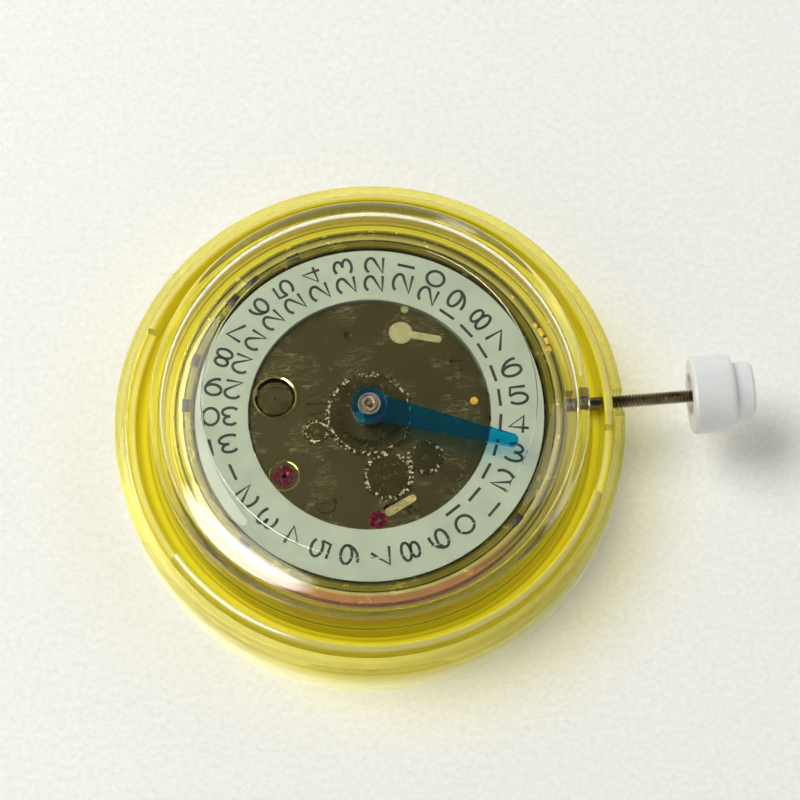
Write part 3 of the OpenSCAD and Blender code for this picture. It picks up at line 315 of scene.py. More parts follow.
# The winding wheels are steel with a ground top, snailed from their middle outwards. A
# screw holds the ratchet wheel on the barrel arbor's square.
snailed_steel = finish("snailed_steel", rgb(165, 167, 170), rgb(215, 217, 220), (0.2, 0.36),
                       scale=420, Metallic=1.0, lines=(260.0, 0.012, 0.4, rgb(240, 240, 240), 0.5))
for name in ("ratchet_wheel", "crown_wheel"):
    dress(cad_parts[name], snailed_steel)

# The barrel, the train wheels and the balance are brass, gilt, with cut teeth and
# crossed-out spokes.
gilt_brass = finish("gilt_brass", rgb(176, 140, 66), rgb(226, 192, 110), (0.16, 0.3),
                    scale=600, Metallic=1.0, lines=(400.0, 0.005, 0.5, rgb(245, 220, 150), 0.4))
for name in ("barrel_drum", "barrel_cover", "centre_wheel", "third_wheel", "balance_wheel",
             "roller", "minute_wheel", "date_driving_wheel", "reverser_gear", "reduction_wheel"):
    dress(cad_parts[name], gilt_brass)

# The mainspring and the hairspring are coiled strips of a spring alloy, tempered blue.
# The first lies wound in the barrel; the second stands between balance and cock.
blued_spring = finish("blued_spring", rgb(52, 62, 110), rgb(88, 100, 150), (0.15, 0.25),
                      scale=900, Metallic=1.0)
for name in ("mainspring", "hairspring"):
    dress(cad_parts[name], blued_spring)

# The rotor is a half disc of heavy metal with a thick rim, nickel plated and striped. It
# swings on its ball race under the bridges and is held by one screw.
rotor_metal = finish("rotor_metal", rgb(160, 156, 146), rgb(212, 208, 198), (0.22, 0.38),
                     scale=240, Metallic=1.0, lines=(180.0, 0.02, 0.3, rgb(232, 230, 222), 0.5))
dress(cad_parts["rotor_weight"], rotor_metal)

# The calendar plate is thin stamped metal, satin and scratched by handling, which covers
# the wheels of the calendar. Its olive brown is painted reflection of a dark room.
PLATE_TOP = 7.02
olive_plate = finish("olive_plate", rgb(58, 53, 29), rgb(65, 60, 32), (0.28, 0.34), scale=2400,
                     Metallic=0.5, lines=(420.0, 0.006, 0.53, rgb(190, 184, 140), 0.3))
for name in ("calendar_plate", "calendar_screws", "shock_settings"):
    dress(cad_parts[name], olive_plate)


def polar(r, angle):
    return (r * math.cos(math.radians(angle)), r * math.sin(math.radians(angle)))


def turned(name, up, down=(), centre=(0, 0), steps=96):
    """Turns a profile of (radius, height) points in mm, each ring extruded from the last.

    Both halves start at the first point of up. A half that ends at radius 0 is closed
    there; with no down, the last point meets the first again.
    """
    deselect()
    bpy.ops.mesh.primitive_circle_add(vertices=steps, radius=up[0][0] * MM, location=(0, 0, up[0][1] * MM))
    piece = bpy.context.object
    piece.name = name
    bpy.ops.object.transform_apply(location=True)
    for half in (up, [up[0], *down]):
        only(piece)
        for vertex in piece.data.vertices:
            vertex.select = vertex.index < steps
        bpy.ops.object.mode_set(mode="EDIT")
        for (r0, z0), (r1, z1) in zip(half, half[1:]):
            bpy.ops.mesh.extrude_region_move(TRANSFORM_OT_translate={"value": (0, 0, (z1 - z0) * MM)})
            if r1 > 0:
                bpy.ops.transform.resize(value=(r1 / r0, r1 / r0, 1), center_override=(0, 0, z1 * MM))
            else:
                bpy.ops.mesh.merge(type="CENTER")
        bpy.ops.object.mode_set(mode="OBJECT")
    piece.location = (centre[0] * MM, centre[1] * MM, 0)
    return placed(piece)


def stud(name, centre, r, low, high, edge=0.05, steps=40):
    """A plain round piece with broken edges."""
    profile = [(r, low), (r, high - edge), (r - edge, high), (0, high)]
    return turned(name, profile, [(0, low)], centre, steps)


# What shows through the plate's two slots is the frosted face of the pieces below
frosted = finish("frosted_metal", rgb(134, 130, 93), rgb(162, 157, 117), (0.45, 0.6),
                 scale=1500, Metallic=0.4, bump=0.4)
KEYHOLE, KEYHOLE_END, KEYHOLE_R, ARM_R = (2.54, 5.61), (4.95, 4.94), 0.78, 0.26
SLIDE, SLIDE_END, SLIDE_R = (0.72, -6.76), (2.3, -5.98), 0.3


def bar_shape(name, start, end, r0, r1, low, high, steps=32):
    """A flat bar between two points with round ends of two radii."""
    parts = [stud("end", start, r0, low, high, 0.01, steps), stud("end", end, r1, low, high, 0.01, steps)]
    bar = joined(name, parts)
    editing(bar)
    bpy.ops.mesh.convex_hull()
    deselect()
    return smooth(placed(bar))


low, high = PLATE_TOP - 0.24, PLATE_TOP - 0.06
inlays = [bar_shape("inlay", KEYHOLE, KEYHOLE_END, ARM_R, ARM_R, low, high),
          smooth(stud("inlay", KEYHOLE, KEYHOLE_R, low, high, 0.01))]
dress(joined("keyhole_inlay", inlays), frosted, "root")
slide = bar_shape("slide_inlay", SLIDE, SLIDE_END, SLIDE_R, ARM_R, PLATE_TOP - 0.01, PLATE_TOP + 0.02)
worn_metal = finish("worn_metal", rgb(96, 86, 50), rgb(178, 168, 120), (0.3, 0.5),
                    scale=2200, Metallic=0.5, bump=0.3)
dress(slide, worn_metal, "root")

# Small fixed details of the plate: turned rims round the recess and the jewels, a brass
# pin, a ring stud and a light dot near the edge, and bright brass blocks on the mainplate's
# rim that are painted glints.
RIMS = (((-6.12, 1.79), 1.5, 0.16, 72), ((-5.92, -3.72), 1.08, 0.2, 72), ((-3.34, -5.91), 0.72, 0.1, 72),
        ((4.88, -5.72), 0.24, 0.1, 24), ((-0.07, -7.24), 0.64, 0.06, 40))
PIN, DOT, PIN_R = (6.95, 0.38), (2.95, 7.22), 0.26
gold_edge = finish("gold_edge", rgb(150, 128, 70), rgb(225, 205, 140), (0.1, 0.2),
                   scale=1500, Metallic=1.0)


def rim(centre, r, width, steps):
    """A narrow raised ring with a sloping inner side."""
    low, high = PLATE_TOP - 0.05, PLATE_TOP + 0.02
    profile = [(r, low), (r, high), (r - width * 0.4, high), (r - width, low), (r, low)]
    return smooth(turned("rim", profile, (), centre, steps), 20)


dress(joined("recess_rims", [rim(*each) for each in RIMS]), gold_edge, "root")
brass_pin = finish("brass_pin_metal", rgb(196, 146, 24), rgb(252, 208, 80), (0.1, 0.2),
                   scale=3000, Metallic=0.4)
pin = stud("brass_pin", PIN, PIN_R, PLATE_TOP - 0.05, PLATE_TOP + 0.15, 0.1)
dress(smooth(pin), brass_pin, "root")
dot = stud("light_dot", DOT, PIN_R, PLATE_TOP - 0.02, PLATE_TOP + 0.015, 0.01)
dress(smooth(dot), frosted, "root")
# The glint blocks' radius, half length and angle
GLINT_BLOCKS = ((12.72, 0.2, 15.6), (12.8, 0.26, 18.2), (12.72, 0.3, 21.4), (12.62, 0.16, 24.2),
         (12.5, 0.14, 35.7))
GLINT_HALF = 0.14
glints = [block("glint", (r - GLINT_HALF, -half, DIAL_Z - 0.1), (r + GLINT_HALF, half, DIAL_Z + 0.01),
                turn=angle, bevel=0.04) for r, half, angle in GLINT_BLOCKS]
dress(joined("rim_glints", glints), brass_pin, "root")

# The small wheels let into the plate are stamped from the same metal, in the same painted
# olive. The light that the cut sides of their teeth catch is painted on, as rows of bright points
# outside each wheel's root radius.
TOOTHED = {"gmt_intermediate_wheel": ((0.862, -4.366), 1.36), "gmt_setting_wheel": ((3.393, -3.291), 0.92),
           "corrector_wheel": ((-3.584, -0.92), 0.62), "gmt_wheel": ((0, 0), 2.62)}
TOOTH_GLINT_SCALE, TOOTH_GLINT_FROM = 5200.0, 0.57


def tooth_finish(name, centre, root_r):
    """Satin painted olive, with painted glints on the teeth, which lie outside root_r round the centre."""
    material = finish(name, rgb(58, 53, 29), rgb(74, 69, 38), (0.14, 0.3), scale=900, Metallic=0.6)
    tree = material.node_tree
    place = object_place(tree)
    offset = vectors(tree, "SUBTRACT", place, (centre[0] * MM, centre[1] * MM, 0))
    reach = vectors(tree, "LENGTH", vectors(tree, "MULTIPLY", offset, (1, 1, 0)), out="Value")
    outside = maths(tree, "GREATER_THAN", reach, root_r * MM)
    glint = maths(tree, "GREATER_THAN", noise(tree, place, TOOTH_GLINT_SCALE, 1.0), TOOTH_GLINT_FROM)
    stained(material, maths(tree, "MULTIPLY", outside, glint), rgb(226, 220, 184))
    return material


for name, (centre, root_r) in TOOTHED.items():
    dress(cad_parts[name], tooth_finish(name + "_olive", centre, root_r))

# The hour wheel, the cannon pinion and the seconds post stand one inside another in the
# middle, polished steel tubes whose ends shine as rings.
centre_steel = finish("centre_steel", rgb(118, 108, 102), rgb(196, 186, 180), (0.1, 0.2),
                      scale=1500, bump=0.02, Metallic=0.6)
for name in ("hour_wheel", "cannon_pinion", "fourth_wheel"):
    dress(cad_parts[name], centre_steel)

# The date ring is stamped brass, lacquered satin white, with inner teeth below it. Its
# numerals are printed in black, upright at three o'clock and one pitch apart.
DATE_TOP, DATE_DAYS, NUMERAL_START, NUMERAL_H, STROKE, STROKE_RISE = 7.4, 31, 2.2, 1.38, 0.2, 0.12
white_lacquer = finish("white_lacquer", rgb(143, 153, 143), rgb(156, 166, 155), (0.3, 0.42),
                       scale=400, bump=0.05)
dress(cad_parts["date_ring"], white_lacquer)


def arc(x, y, rx, ry, start, end, steps=14):
    return [(x + rx * math.cos(math.radians(start + (end - start) * i / steps)),
             y + ry * math.sin(math.radians(start + (end - start) * i / steps))) for i in range(steps + 1)]


SIX = [[(0.34, 0.46), (0.12, 0.47), (-0.12, 0.38), (-0.33, 0.2), (-0.45, -0.02), (-0.47, -0.2)],
       arc(0, -0.19, 0.47, 0.31, 0, 360, 20)]
STROKES = {
    "0": [arc(0, 0, 0.46, 0.5, 0, 360, 22)],
    "1": [[(0, -0.5), (0, 0.5)]],
    "2": [arc(0, 0.2, 0.44, 0.3, 165, -35, 11) + [(-0.46, -0.5), (0.48, -0.5)]],
    "3": [arc(0, 0.25, 0.38, 0.25, 150, -90, 10), arc(0, -0.24, 0.46, 0.26, 90, -150, 12)],
    "4": [[(0.2, -0.5), (0.2, 0.5), (-0.48, -0.2), (0.48, -0.2)]],
    "5": [[(0.4, 0.5), (-0.34, 0.5), (-0.4, 0.06)] + arc(0, -0.18, 0.46, 0.32, 140, -150, 12)],
    "6": SIX,
    "7": [[(-0.46, 0.5), (0.46, 0.5), (-0.16, -0.5)]],
    "8": [arc(0, 0.26, 0.38, 0.24, 0, 360, 18), arc(0, -0.24, 0.46, 0.26, 0, 360, 18)],
    "9": [[(-x, -y) for x, y in line] for line in SIX],
}


def digit(figure, width):
    """One printed figure in the middle of the frame, as thin raised strokes."""
    deselect()
    bpy.ops.curve.primitive_bezier_curve_add()
    shape = bpy.context.object
    shape.data.splines.clear()
    for line in STROKES[figure]:
        spline = shape.data.splines.new("POLY")
        spline.points.add(len(line) - 1)
        for point, (x, y) in zip(spline.points, line):
            point.co = (x * width * MM, y * (NUMERAL_H - STROKE) * MM, 0, 1)
    shape.data.dimensions = "3D"
    shape.data.bevel_depth = STROKE / 2 * MM
    shape.data.bevel_resolution = 1
    shape.data.use_fill_caps = True
    shape.scale = (1, 1, STROKE_RISE)
    bpy.ops.object.convert(target="MESH")
    shape = bpy.context.object
    bpy.ops.object.transform_apply(location=True, rotation=True, scale=True)
    return shape


# A layout gives each figure its radius and width; a lone figure is the widest. Each width
# of each figure is made once and copied.
made, numerals = {}, []
for day in range(1, DATE_DAYS + 1):
    figures = str(day)
    if len(figures) == 1:
        layout = [(figures, 9.8, 1.35)]
    elif figures == "11":
        layout = [("1", 8.85, 1), ("1", 10.5, 1)]
    elif figures[0] == "1":
        layout = [("1", 8.62, 1), (figures[1], 9.85, 1.34)]
    elif figures[1] == "1":
        layout = [(figures[0], 9.42, 1.36), ("1", 10.65, 1)]
    else:
        layout = [(figures[0], 9.14, 1.16), (figures[1], 10.44, 1.16)]
    angle = math.radians(NUMERAL_START + (day - 15) * 360 / DATE_DAYS)
    for figure, r, width in layout:
        if (figure, width) not in made:
            made[figure, width] = digit(figure, width)
        one = made[figure, width].copy()
        one.data = one.data.copy()
        bpy.context.collection.objects.link(one)
        one.rotation_euler = (0, 0, angle)
        one.location = (r * MM * math.cos(angle), r * MM * math.sin(angle), DATE_TOP * MM)
        numerals.append(one)
for pattern in made.values():
    only(pattern)
    bpy.ops.object.delete()
for one in numerals:
    one.select_set(True)
bpy.context.view_layer.objects.active = numerals[0]
bpy.ops.object.transform_apply(location=True, rotation=True, scale=True)
date_numerals = joined("date_numerals", numerals)
black_print = finish("black_print", rgb(12, 14, 14), rgb(26, 28, 27), (0.35, 0.5), scale=3000)
dress(smooth(date_numerals), black_print, "date")

# The stem is turned steel: a square that drives the clutch, a round part with the groove
# of the setting lever, and a fine thread on which the crown is screwed.
CLUTCH_X, SQUARE_X, SQUARE_HALF, NECK_R, NECK_END = 9.3, 7.5, 0.28, 0.4, 10.75
GROOVE_X, GROOVE_W, GROOVE_R, STEM_R = 10.95, 0.4, 0.25, 0.45
STEM_Z, THREAD_START, THREAD_END, THREAD_PITCH, THREAD_DEPTH = 5.6, 15.6, 23.6, 0.225, 0.1


def along_stem(piece):
    """Lays a piece turned about the Z axis along the stem, its height as the distance out."""
    piece.rotation_euler = (0, math.pi / 2, 0)
    piece.location = (0, 0, STEM_Z * MM)
    return placed(piece)


profile = [(NECK_R - 0.02, CLUTCH_X), (NECK_R, CLUTCH_X + 0.02), (NECK_R, NECK_END),
           (STEM_R, NECK_END + 0.02), (STEM_R, GROOVE_X), (GROOVE_R, GROOVE_X),
           (GROOVE_R, GROOVE_X + GROOVE_W), (STEM_R, GROOVE_X + GROOVE_W), (STEM_R, THREAD_START - 0.1),
           (STEM_R - THREAD_DEPTH, THREAD_START), (0, THREAD_START)]
plain = turned("stem", profile, [(0, CLUTCH_X)], steps=40)
low, high = (-SQUARE_HALF, -SQUARE_HALF, SQUARE_X), (SQUARE_HALF, SQUARE_HALF, CLUTCH_X + 0.05)
square = block("stem_square", low, high, bevel=0.03)
deselect()
bpy.ops.mesh.primitive_circle_add(vertices=4, radius=STEM_R * MM)
thread = bpy.context.object
# One turn of the thread is a line over its crest, which the screw modifier winds outwards
low, crest = STEM_R - THREAD_DEPTH, STEM_R - 0.005
for vertex, (r, share) in zip(thread.data.vertices, [(low, 0), (crest, 0.4), (crest, 0.56), (low, 1)]):
    vertex.co = (r * MM, 0, share * THREAD_PITCH * MM)
only(thread)
bpy.ops.object.mode_set(mode="EDIT")
bpy.ops.mesh.select_mode(type="EDGE")
bpy.ops.mesh.select_all(action="DESELECT")
bpy.ops.object.mode_set(mode="OBJECT")
for edge in thread.data.edges:
    edge.select = set(edge.vertices) == {0, 3}
bpy.ops.object.mode_set(mode="EDIT")
bpy.ops.mesh.delete(type="EDGE")
bpy.ops.mesh.select_mode(type="VERT")
bpy.ops.object.mode_set(mode="OBJECT")
THREAD_TURNS = int((THREAD_END - THREAD_START) / THREAD_PITCH)
modified(thread, "SCREW", axis="Z", angle=2 * math.pi, screw_offset=THREAD_PITCH * MM,
         iterations=THREAD_TURNS, steps=20, render_steps=20, use_merge_vertices=True,
         merge_threshold=0.001 * MM, use_smooth_shade=False)
editing(thread)
bpy.ops.mesh.select_all(action="DESELECT")
bpy.ops.mesh.select_non_manifold()
bpy.ops.mesh.fill()
deselect()
thread.location = (0, 0, THREAD_START * MM)
stem = smooth(along_stem(joined("threaded_stem", [plain, square, placed(thread)])), 30)
dark_steel = finish("dark_steel", rgb(84, 77, 58), rgb(170, 160, 136), (0.14, 0.26),
                    scale=900, Metallic=1.0)
dress(stem, dark_steel, "stem")
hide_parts("winding_stem")

# The crown is moulded in white translucent plastic: a grip with shallow soft flutes and
# a smaller step outside it, with a socket that clears the end of the case's tube.
CROWN_X, CROWN_R, CROWN_L, STEP_R, STEP_L = 21.35, 2.67, 2.8, 2.05, 1.35
FLUTES, FLUTE_FROM, FLUTE_IN = 40, 2.4, 0.965
step_x, end_x = CROWN_X + CROWN_L, CROWN_X + CROWN_L + STEP_L
outside = [(2.3, CROWN_X), (2.52, CROWN_X + 0.05), (CROWN_R, CROWN_X + 0.25), (CROWN_R, step_x - 0.25),
           (2.56, step_x - 0.07), (2.35, step_x), (STEP_R + 0.12, step_x), (STEP_R, step_x + 0.12),
           (STEP_R, end_x - 0.2), (STEP_R - 0.2, end_x), (1.35, end_x), (1.2, end_x - 0.12),
           (0, end_x - 0.12)]
socket = [(1.6, CROWN_X), (1.5, CROWN_X + 0.1), (1.5, CROWN_X + 0.5), (STEM_R + 0.02, CROWN_X + 0.5),
          (STEM_R + 0.02, step_x - 0.5), (0, step_x - 0.5)]
grip = turned("crown_grip", outside, socket, steps=FLUTES * 6)
only(grip)
for vertex in grip.data.vertices:
    r = math.hypot(vertex.co.x, vertex.co.y) / MM
    phase = math.atan2(vertex.co.y, vertex.co.x) / (2 * math.pi) * FLUTES % 1
    vertex.select = r > FLUTE_FROM and abs(phase - 0.5) < 0.2
bpy.ops.object.mode_set(mode="EDIT")
bpy.ops.transform.resize(value=(FLUTE_IN, FLUTE_IN, 1), center_override=(0, 0, 0))
bpy.ops.object.mode_set(mode="OBJECT")
crown = smooth(along_stem(grip), 24)
white_plastic = finish("white_plastic", rgb(220, 222, 221), rgb(234, 236, 234), (0.28, 0.42),
                       scale=350, bump=0.2, bump_scale=2500.0,
                       Subsurface_Weight=0.35, Subsurface_Scale=0.0008)
dress(crown, white_plastic, "stem")
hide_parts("crown")

# The pointer is a blue transparent film hand, tapered, on a round hub that is pressed
# over the pipe of the hour wheel.
POINTER_Z, POINTER_T, POINTER_L, POINTER_A, ROOT_R, TIP_R = 8.7, 0.4, 10.0, -19.5, 0.88, 0.43
HUB_R, HUB_BORE, HUB_RISE, COLLAR_R, COLLAR_Z = 1.2, 0.76, 0.25, 0.74, 9.17
tip = polar(POINTER_L - TIP_R, POINTER_A)
arm = bar_shape("pointer_arm", (0, 0), tip, ROOT_R, TIP_R, POINTER_Z, POINTER_Z + POINTER_T, steps=48)
bore = stud("pointer_bore", (0, 0), 0.9, POINTER_Z - 1, POINTER_Z + 1, steps=64)
modified(arm, "BOOLEAN", operation="DIFFERENCE", solver="EXACT", object=bore)
only(bore)
bpy.ops.object.delete()
hub_low, hub_top = POINTER_Z - 0.15, POINTER_Z + POINTER_T + HUB_RISE
profile = [(HUB_BORE, hub_low), (HUB_R - 0.05, hub_low), (HUB_R, POINTER_Z - 0.1), (HUB_R, hub_top - 0.15),
           (HUB_R - 0.15, hub_top), (HUB_BORE + 0.14, hub_top), (HUB_BORE, hub_top - 0.14),
           (HUB_BORE, hub_low)]
hub = turned("pointer_hub", profile, steps=96)


def clear(name, tint, rough, ior, shade, body=1.0, coat=0.5):
    """A clear plastic that lets the lamps through to what is behind it, coloured by shade."""
    material = finish(name, tint, tint, rough, scale=300, bump=0.0, Transmission_Weight=body,
                      IOR=ior, Coat_Weight=coat, Coat_IOR=1.5, Coat_Roughness=0.03)
    tree = material.node_tree
    shader = tree.nodes["Principled BSDF"]
    through = node(tree, "ShaderNodeBsdfTransparent", {"Color": (*shade, 1)})
    path = tree.nodes.new("ShaderNodeLightPath")
    mix = node(tree, "ShaderNodeMixShader", {0: path.outputs["Is Shadow Ray"], 1: shader.outputs["BSDF"],
                                             2: through.outputs["BSDF"]})
    tree.links.new(mix.outputs["Shader"], tree.nodes["Material Output"].inputs["Surface"])
    return material


blue_film = clear("blue_film", rgb(0, 172, 232), (0.02, 0.06), 1.15, (0.45, 0.8, 0.92), 0.98, 0.3)
pointer = smooth(joined("blue_pointer", [placed(arm), hub]))
dress(pointer, blue_film, "hour")
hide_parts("pointer")
cup = finish("hub_cup_metal", rgb(126, 116, 112), rgb(168, 158, 154), (0.06, 0.14),
             scale=1500, bump=0.02, Metallic=0.5)
inner = COLLAR_R - 0.18
profile = [(inner, COLLAR_Z), (COLLAR_R, COLLAR_Z), (COLLAR_R, COLLAR_Z + 0.17),
           (COLLAR_R - 0.08, COLLAR_Z + 0.17), (inner, COLLAR_Z + 0.04), (inner, COLLAR_Z)]
dress(smooth(turned("hub_collar", profile, steps=64), 25), cup, "hour")

# The movement holder is a ring of clear yellow plastic with two walls and a shelf between
# them. The movement drops into its middle, and the lid stands on the shelf.
TRAY_R, TRAY_WALL, TRAY_FLOOR, TRAY_H, SLOT_R = 16.9, 0.7, 0.8, 6.2, 0.75
HOLDER_R, HOLDER_WALL, HOLDER_TOP = 16.1, 0.6, 6.9
SEAT_Z, SHELF_Z, SHELF_R, SEAT_R, WELL_R = 5.1, 6.4, 14.5, 13.05, 12.5
NOTCHES, NOTCH_FLOOR, CUT_TOP = ((-24, -7), (152, 212)), SEAT_Z + 0.5, 9
inner = HOLDER_R - HOLDER_WALL
profile = [
    (WELL_R, TRAY_FLOOR), (WELL_R + 0.8, TRAY_FLOOR), (WELL_R + 0.8, SEAT_Z - 1.1),
    (inner - 0.1, SEAT_Z - 1.1), (inner, SEAT_Z - 1.2), (inner, TRAY_FLOOR), (HOLDER_R, TRAY_FLOOR),
    (HOLDER_R, HOLDER_TOP - 0.4), (HOLDER_R - 0.08, HOLDER_TOP - 0.25), (HOLDER_R - 0.24, HOLDER_TOP - 0.1),
    (HOLDER_R - 0.42, HOLDER_TOP), (inner + 0.1, HOLDER_TOP), (inner, HOLDER_TOP - 0.1),
    (inner, SEAT_Z - 0.2), (inner - 0.1, SEAT_Z - 0.3), (SHELF_R, SEAT_Z - 0.3), (SHELF_R, SHELF_Z - 0.08),
    (SHELF_R - 0.08, SHELF_Z), (SEAT_R + 0.1, SHELF_Z), (SEAT_R, SHELF_Z - 0.1), (SEAT_R, SEAT_Z),
    (WELL_R, SEAT_Z), (WELL_R, TRAY_FLOOR)]
holder = turned("yellow_holder", profile, steps=192)
cut_r, clear_r = inner - 0.2, HOLDER_R + 1
tools = [block("stem_slot", (WELL_R - 1, -SLOT_R, STEM_Z - 0.5), (cut_r, SLOT_R, CUT_TOP)),
         block("stem_hole", (WELL_R - 1, -SLOT_R, STEM_Z - 0.6), (TRAY_R, SLOT_R, STEM_Z + 0.6))]
for start, end in NOTCHES:
    profile = [(cut_r, NOTCH_FLOOR), (clear_r, NOTCH_FLOOR), (clear_r, CUT_TOP), (cut_r, CUT_TOP),
               (cut_r, NOTCH_FLOOR)]
    wedge = turned("notch", profile, steps=180)
    for normal in (start + 90, end - 90, (start + end) / 2):
        editing(wedge)
        bpy.ops.mesh.bisect(plane_co=(0, 0, 0), plane_no=(*polar(1, normal), 0), clear_inner=True,
                            use_fill=True)
        deselect()
    tools.append(placed(wedge))
for tool in tools:
    modified(holder, "BOOLEAN", operation="DIFFERENCE", solver="EXACT", object=tool)
    only(tool)
    bpy.ops.object.delete()
smooth(placed(holder))
yellow_plastic = clear("yellow_plastic", rgb(244, 232, 60), (0.02, 0.08), 1.25, (0.99, 0.97, 0.75),
                       0.4, 0.3)
ringed(yellow_plastic, 2600.0, rgb(150, 138, 6), 0.5)
# Painted by radius: copper at the seat, growing towards six o'clock; painted shade under the lid's foot,
# darker towards the front, and a ring of painted shade round its wall; and a pale ring on the outer wall's
# top that is a painted highlight.
banded(yellow_plastic, 13.0, 13.5, rgb(158, 108, 56), 0.85, COPPER_FADE)
banded(yellow_plastic, 13.5, 14.2, rgb(96, 82, 6), 0.8, (-2.0, -8.0))
banded(yellow_plastic, 14.1, 14.42, rgb(62, 56, 6), 0.8, ALL_ROUND)
banded(yellow_plastic, 15.62, 15.92, rgb(240, 232, 186), 0.55, ALL_ROUND)
dress(holder, yellow_plastic, "root")
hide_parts("movement_holder")

# The tray is one clear moulding: a flat round floor and an upright wall, with a slot at
# three o'clock through which the stem leaves. Its upper part is painted with the holder's
# yellow as it is seen through the clear wall, fading to pale below.
inner = TRAY_R - TRAY_WALL
profile = [(TRAY_R - 0.25, 0), (TRAY_R, 0.25), (TRAY_R, TRAY_H - 0.32), (TRAY_R - 0.08, TRAY_H - 0.16),
           (TRAY_R - 0.3, TRAY_H), (inner + 0.1, TRAY_H), (inner, TRAY_H - 0.1), (inner, TRAY_FLOOR + 0.15),
           (inner - 0.15, TRAY_FLOOR), (0, TRAY_FLOOR)]
tray = turned("clear_tray", profile, [(0, 0)], steps=192)
slot_tool = block("stem_slot", (TRAY_R - 2, -SLOT_R, STEM_Z - SLOT_R), (TRAY_R + 1, SLOT_R, TRAY_H + 1))
modified(tray, "BOOLEAN", operation="DIFFERENCE", solver="EXACT", object=slot_tool)
only(slot_tool)
bpy.ops.object.delete()


def graded(material, low, high, colour):
    """Adds another colour to a finish, growing between two heights in mm."""
    tree = material.node_tree
    height = along(tree, object_place(tree), "Z")
    stained(material, spread(tree, height, low * MM, high * MM), colour)


tray_plastic = clear("tray_plastic", rgb(242, 232, 112), (0.0, 0.03), 1.06, (0.99, 0.98, 0.93),
                     0.8, 0.08)
ringed(tray_plastic, 1100.0, rgb(198, 186, 50), 0.7)
graded(tray_plastic, 3.6, 2.2, rgb(250, 250, 236))
dress(smooth(placed(tray)), tray_plastic, "root")
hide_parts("tray")

# The lid is a shallow clear dome that stands loose on the holder's shelf. It is moulded
# in one piece: an upright wall, a round shoulder and a flat top.
LID_R, LID_WALL, LID_TOP, LID_ROOF, LID_FLAT_R, LID_RISE = 14.4, 0.8, 10.7, 0.7, 10.9, 1.8
lid_in, roof_z = LID_R - LID_WALL, LID_TOP - LID_ROOF


def shoulder(flat_r, wall_r, top, rise):
    """The quarter round from an upright wall to a flat top, as (radius, height) points."""
    turns = [math.radians(a) for a in range(0, 91, 5)]
    return [(flat_r + (wall_r - flat_r) * math.cos(a), top - rise + rise * math.sin(a)) for a in turns]


outside = [(LID_R - 0.05, SHELF_Z), (LID_R, SHELF_Z + 0.05),
           *shoulder(LID_FLAT_R, LID_R, LID_TOP, LID_RISE),
           (LID_FLAT_R - 0.04, LID_TOP - 0.03), (LID_FLAT_R - 0.09, LID_TOP), (LID_FLAT_R - 0.12, LID_TOP),
           (0, LID_TOP)]
inside = [(lid_in, SHELF_Z), *shoulder(LID_FLAT_R - 0.3, lid_in, roof_z, LID_RISE - 0.2), (0, roof_z)]
clear_plastic = clear("clear_plastic", (0.98, 0.97, 0.86), (0.0, 0.02), 1.2, (0.98, 0.98, 0.95))
lid = turned("clear_lid_dome", outside, inside, steps=256)
dress(smooth(lid), clear_plastic, "lid")
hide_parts("clear_lid")

# The table is a pale foam sheet with a faint sparkle, in a room with pale walls, a dark
# ceiling and one broad window pane that shows in the plastics and the metals.
TABLE_SIZE, TABLE_DROP = 6, 0.02
deselect()
bpy.ops.mesh.primitive_plane_add(size=TABLE_SIZE, location=(0, 0, -TABLE_DROP * MM))
table = bpy.context.object
table.name = "table"
foam = finish("pale_foam", rgb(244, 244, 237), rgb(255, 255, 250), (0.4, 0.7),
              scale=2600, bump=0.9, bump_scale=3600.0)
dress(table, foam)
WALL_LIGHT, WALL_TOP, CEILING_LIGHT, CEILING_START = 0.6, 0.5, 0.06, 0.82
PANE_LIGHT, PANE_WAY, PANE_OUTER, PANE_INNER = 24.0, (-0.64, -0.34, 0.69), 0.91, 0.96
world = bpy.data.worlds.new("room")
bpy.context.scene.world = world
world.use_nodes = True
tree = world.node_tree
backdrop = tree.nodes["Background"]
way = tree.nodes.new("ShaderNodeTexCoord").outputs["Generated"]
height = along(tree, way, "Z")
walls = spread(tree, height, WALL_TOP, CEILING_START, WALL_LIGHT, CEILING_LIGHT, "SMOOTHSTEP")
towards = vectors(tree, "DOT_PRODUCT", way, PANE_WAY, out="Value")
pane = spread(tree, towards, PANE_OUTER, PANE_INNER, 0.0, PANE_LIGHT, "SMOOTHSTEP")
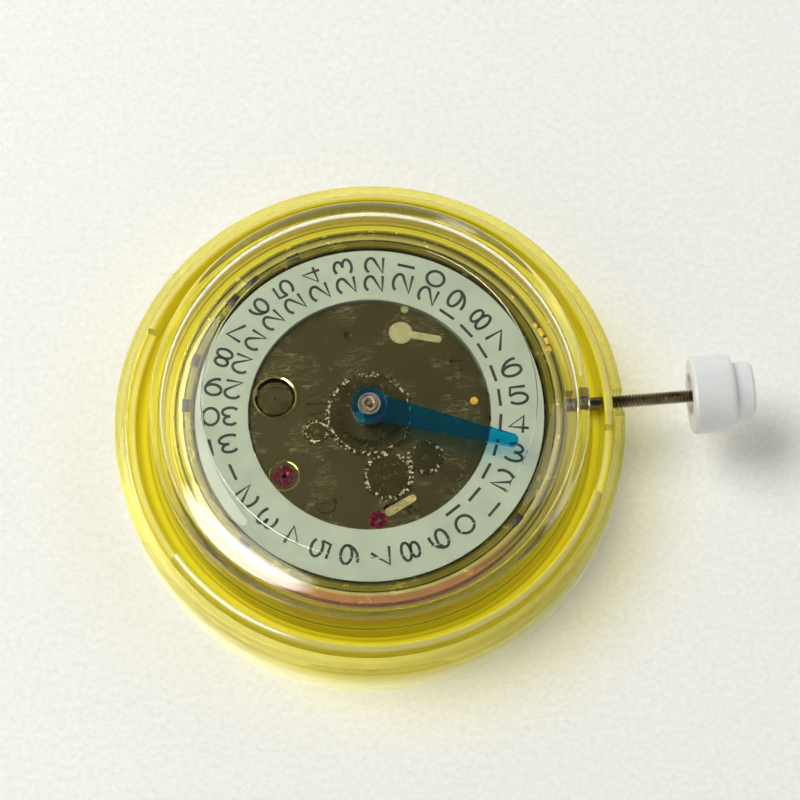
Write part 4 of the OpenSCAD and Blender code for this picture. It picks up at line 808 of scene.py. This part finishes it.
# The pane is seen in the plastics and the metals, and lights nothing
path = tree.nodes.new("ShaderNodeLightPath")
shown = maths(tree, "MAXIMUM", path.outputs["Is Glossy Ray"], path.outputs["Is Transmission Ray"])
direct = maths(tree, "LESS_THAN", path.outputs["Diffuse Depth"], 0.5)
bright = maths(tree, "MULTIPLY", pane, maths(tree, "MULTIPLY", shown, direct))
backdrop.inputs["Color"].default_value = (1.0, 1.0, 0.985, 1)
tree.links.new(maths(tree, "ADD", walls, bright), backdrop.inputs["Strength"])


def lamp(name, place, size, power, target=(0, 0, 0.005)):
    deselect()
    bpy.ops.object.light_add(type="AREA", location=place)
    made = bpy.context.object
    made.name = name
    made.data.shape = "DISK"
    made.data.size = size
    made.data.energy = power
    way = [a - b for a, b in zip(target, place)]
    made.rotation_euler = (math.atan2(math.hypot(way[0], way[1]), -way[2]), 0, math.atan2(-way[0], way[1]))
    return made


lamp("window", (-0.2, 0.12, 0.36), 0.28, 1.28).visible_glossy = False
lamp("side_window", (0.5, 0.05, 0.6), 0.35, 0.7)

# The camera looks down on the dial side from the front, a hand's width or two away, and
# shows the date ring at RING_SCALE pixels a millimetre, as the photograph does.
RING_SCALE, DISTANCE, ELEVATION, AZIMUTH = 15.2, 200.0, 70.6, -95.0
AIM_RIGHT, AIM_UP, AIM_Z, SENSOR, PHOTO_WIDTH = 2.0, 0.95, 7.4, 36, 800
deselect()
bpy.ops.object.camera_add()
camera = bpy.context.object
bpy.context.scene.camera = camera
camera.data.sensor_width = SENSOR
camera.data.clip_start = 0.005
camera.data.clip_end = 10
camera.data.lens = RING_SCALE * DISTANCE * SENSOR / PHOTO_WIDTH
right, up = polar(1, AZIMUTH + 90), polar(1, AZIMUTH + 180)
aim = [right[i] * AIM_RIGHT + up[i] * AIM_UP for i in range(2)] + [AIM_Z]
flat, rise = polar(DISTANCE, ELEVATION)
back = polar(flat, AZIMUTH)
camera.location = ((aim[0] + back[0]) * MM, (aim[1] + back[1]) * MM, (aim[2] + rise) * MM)
camera.rotation_euler = (math.radians(90 - ELEVATION), 0, math.radians(AZIMUTH + 90))

bpy.context.scene.view_settings.view_transform = "Standard"
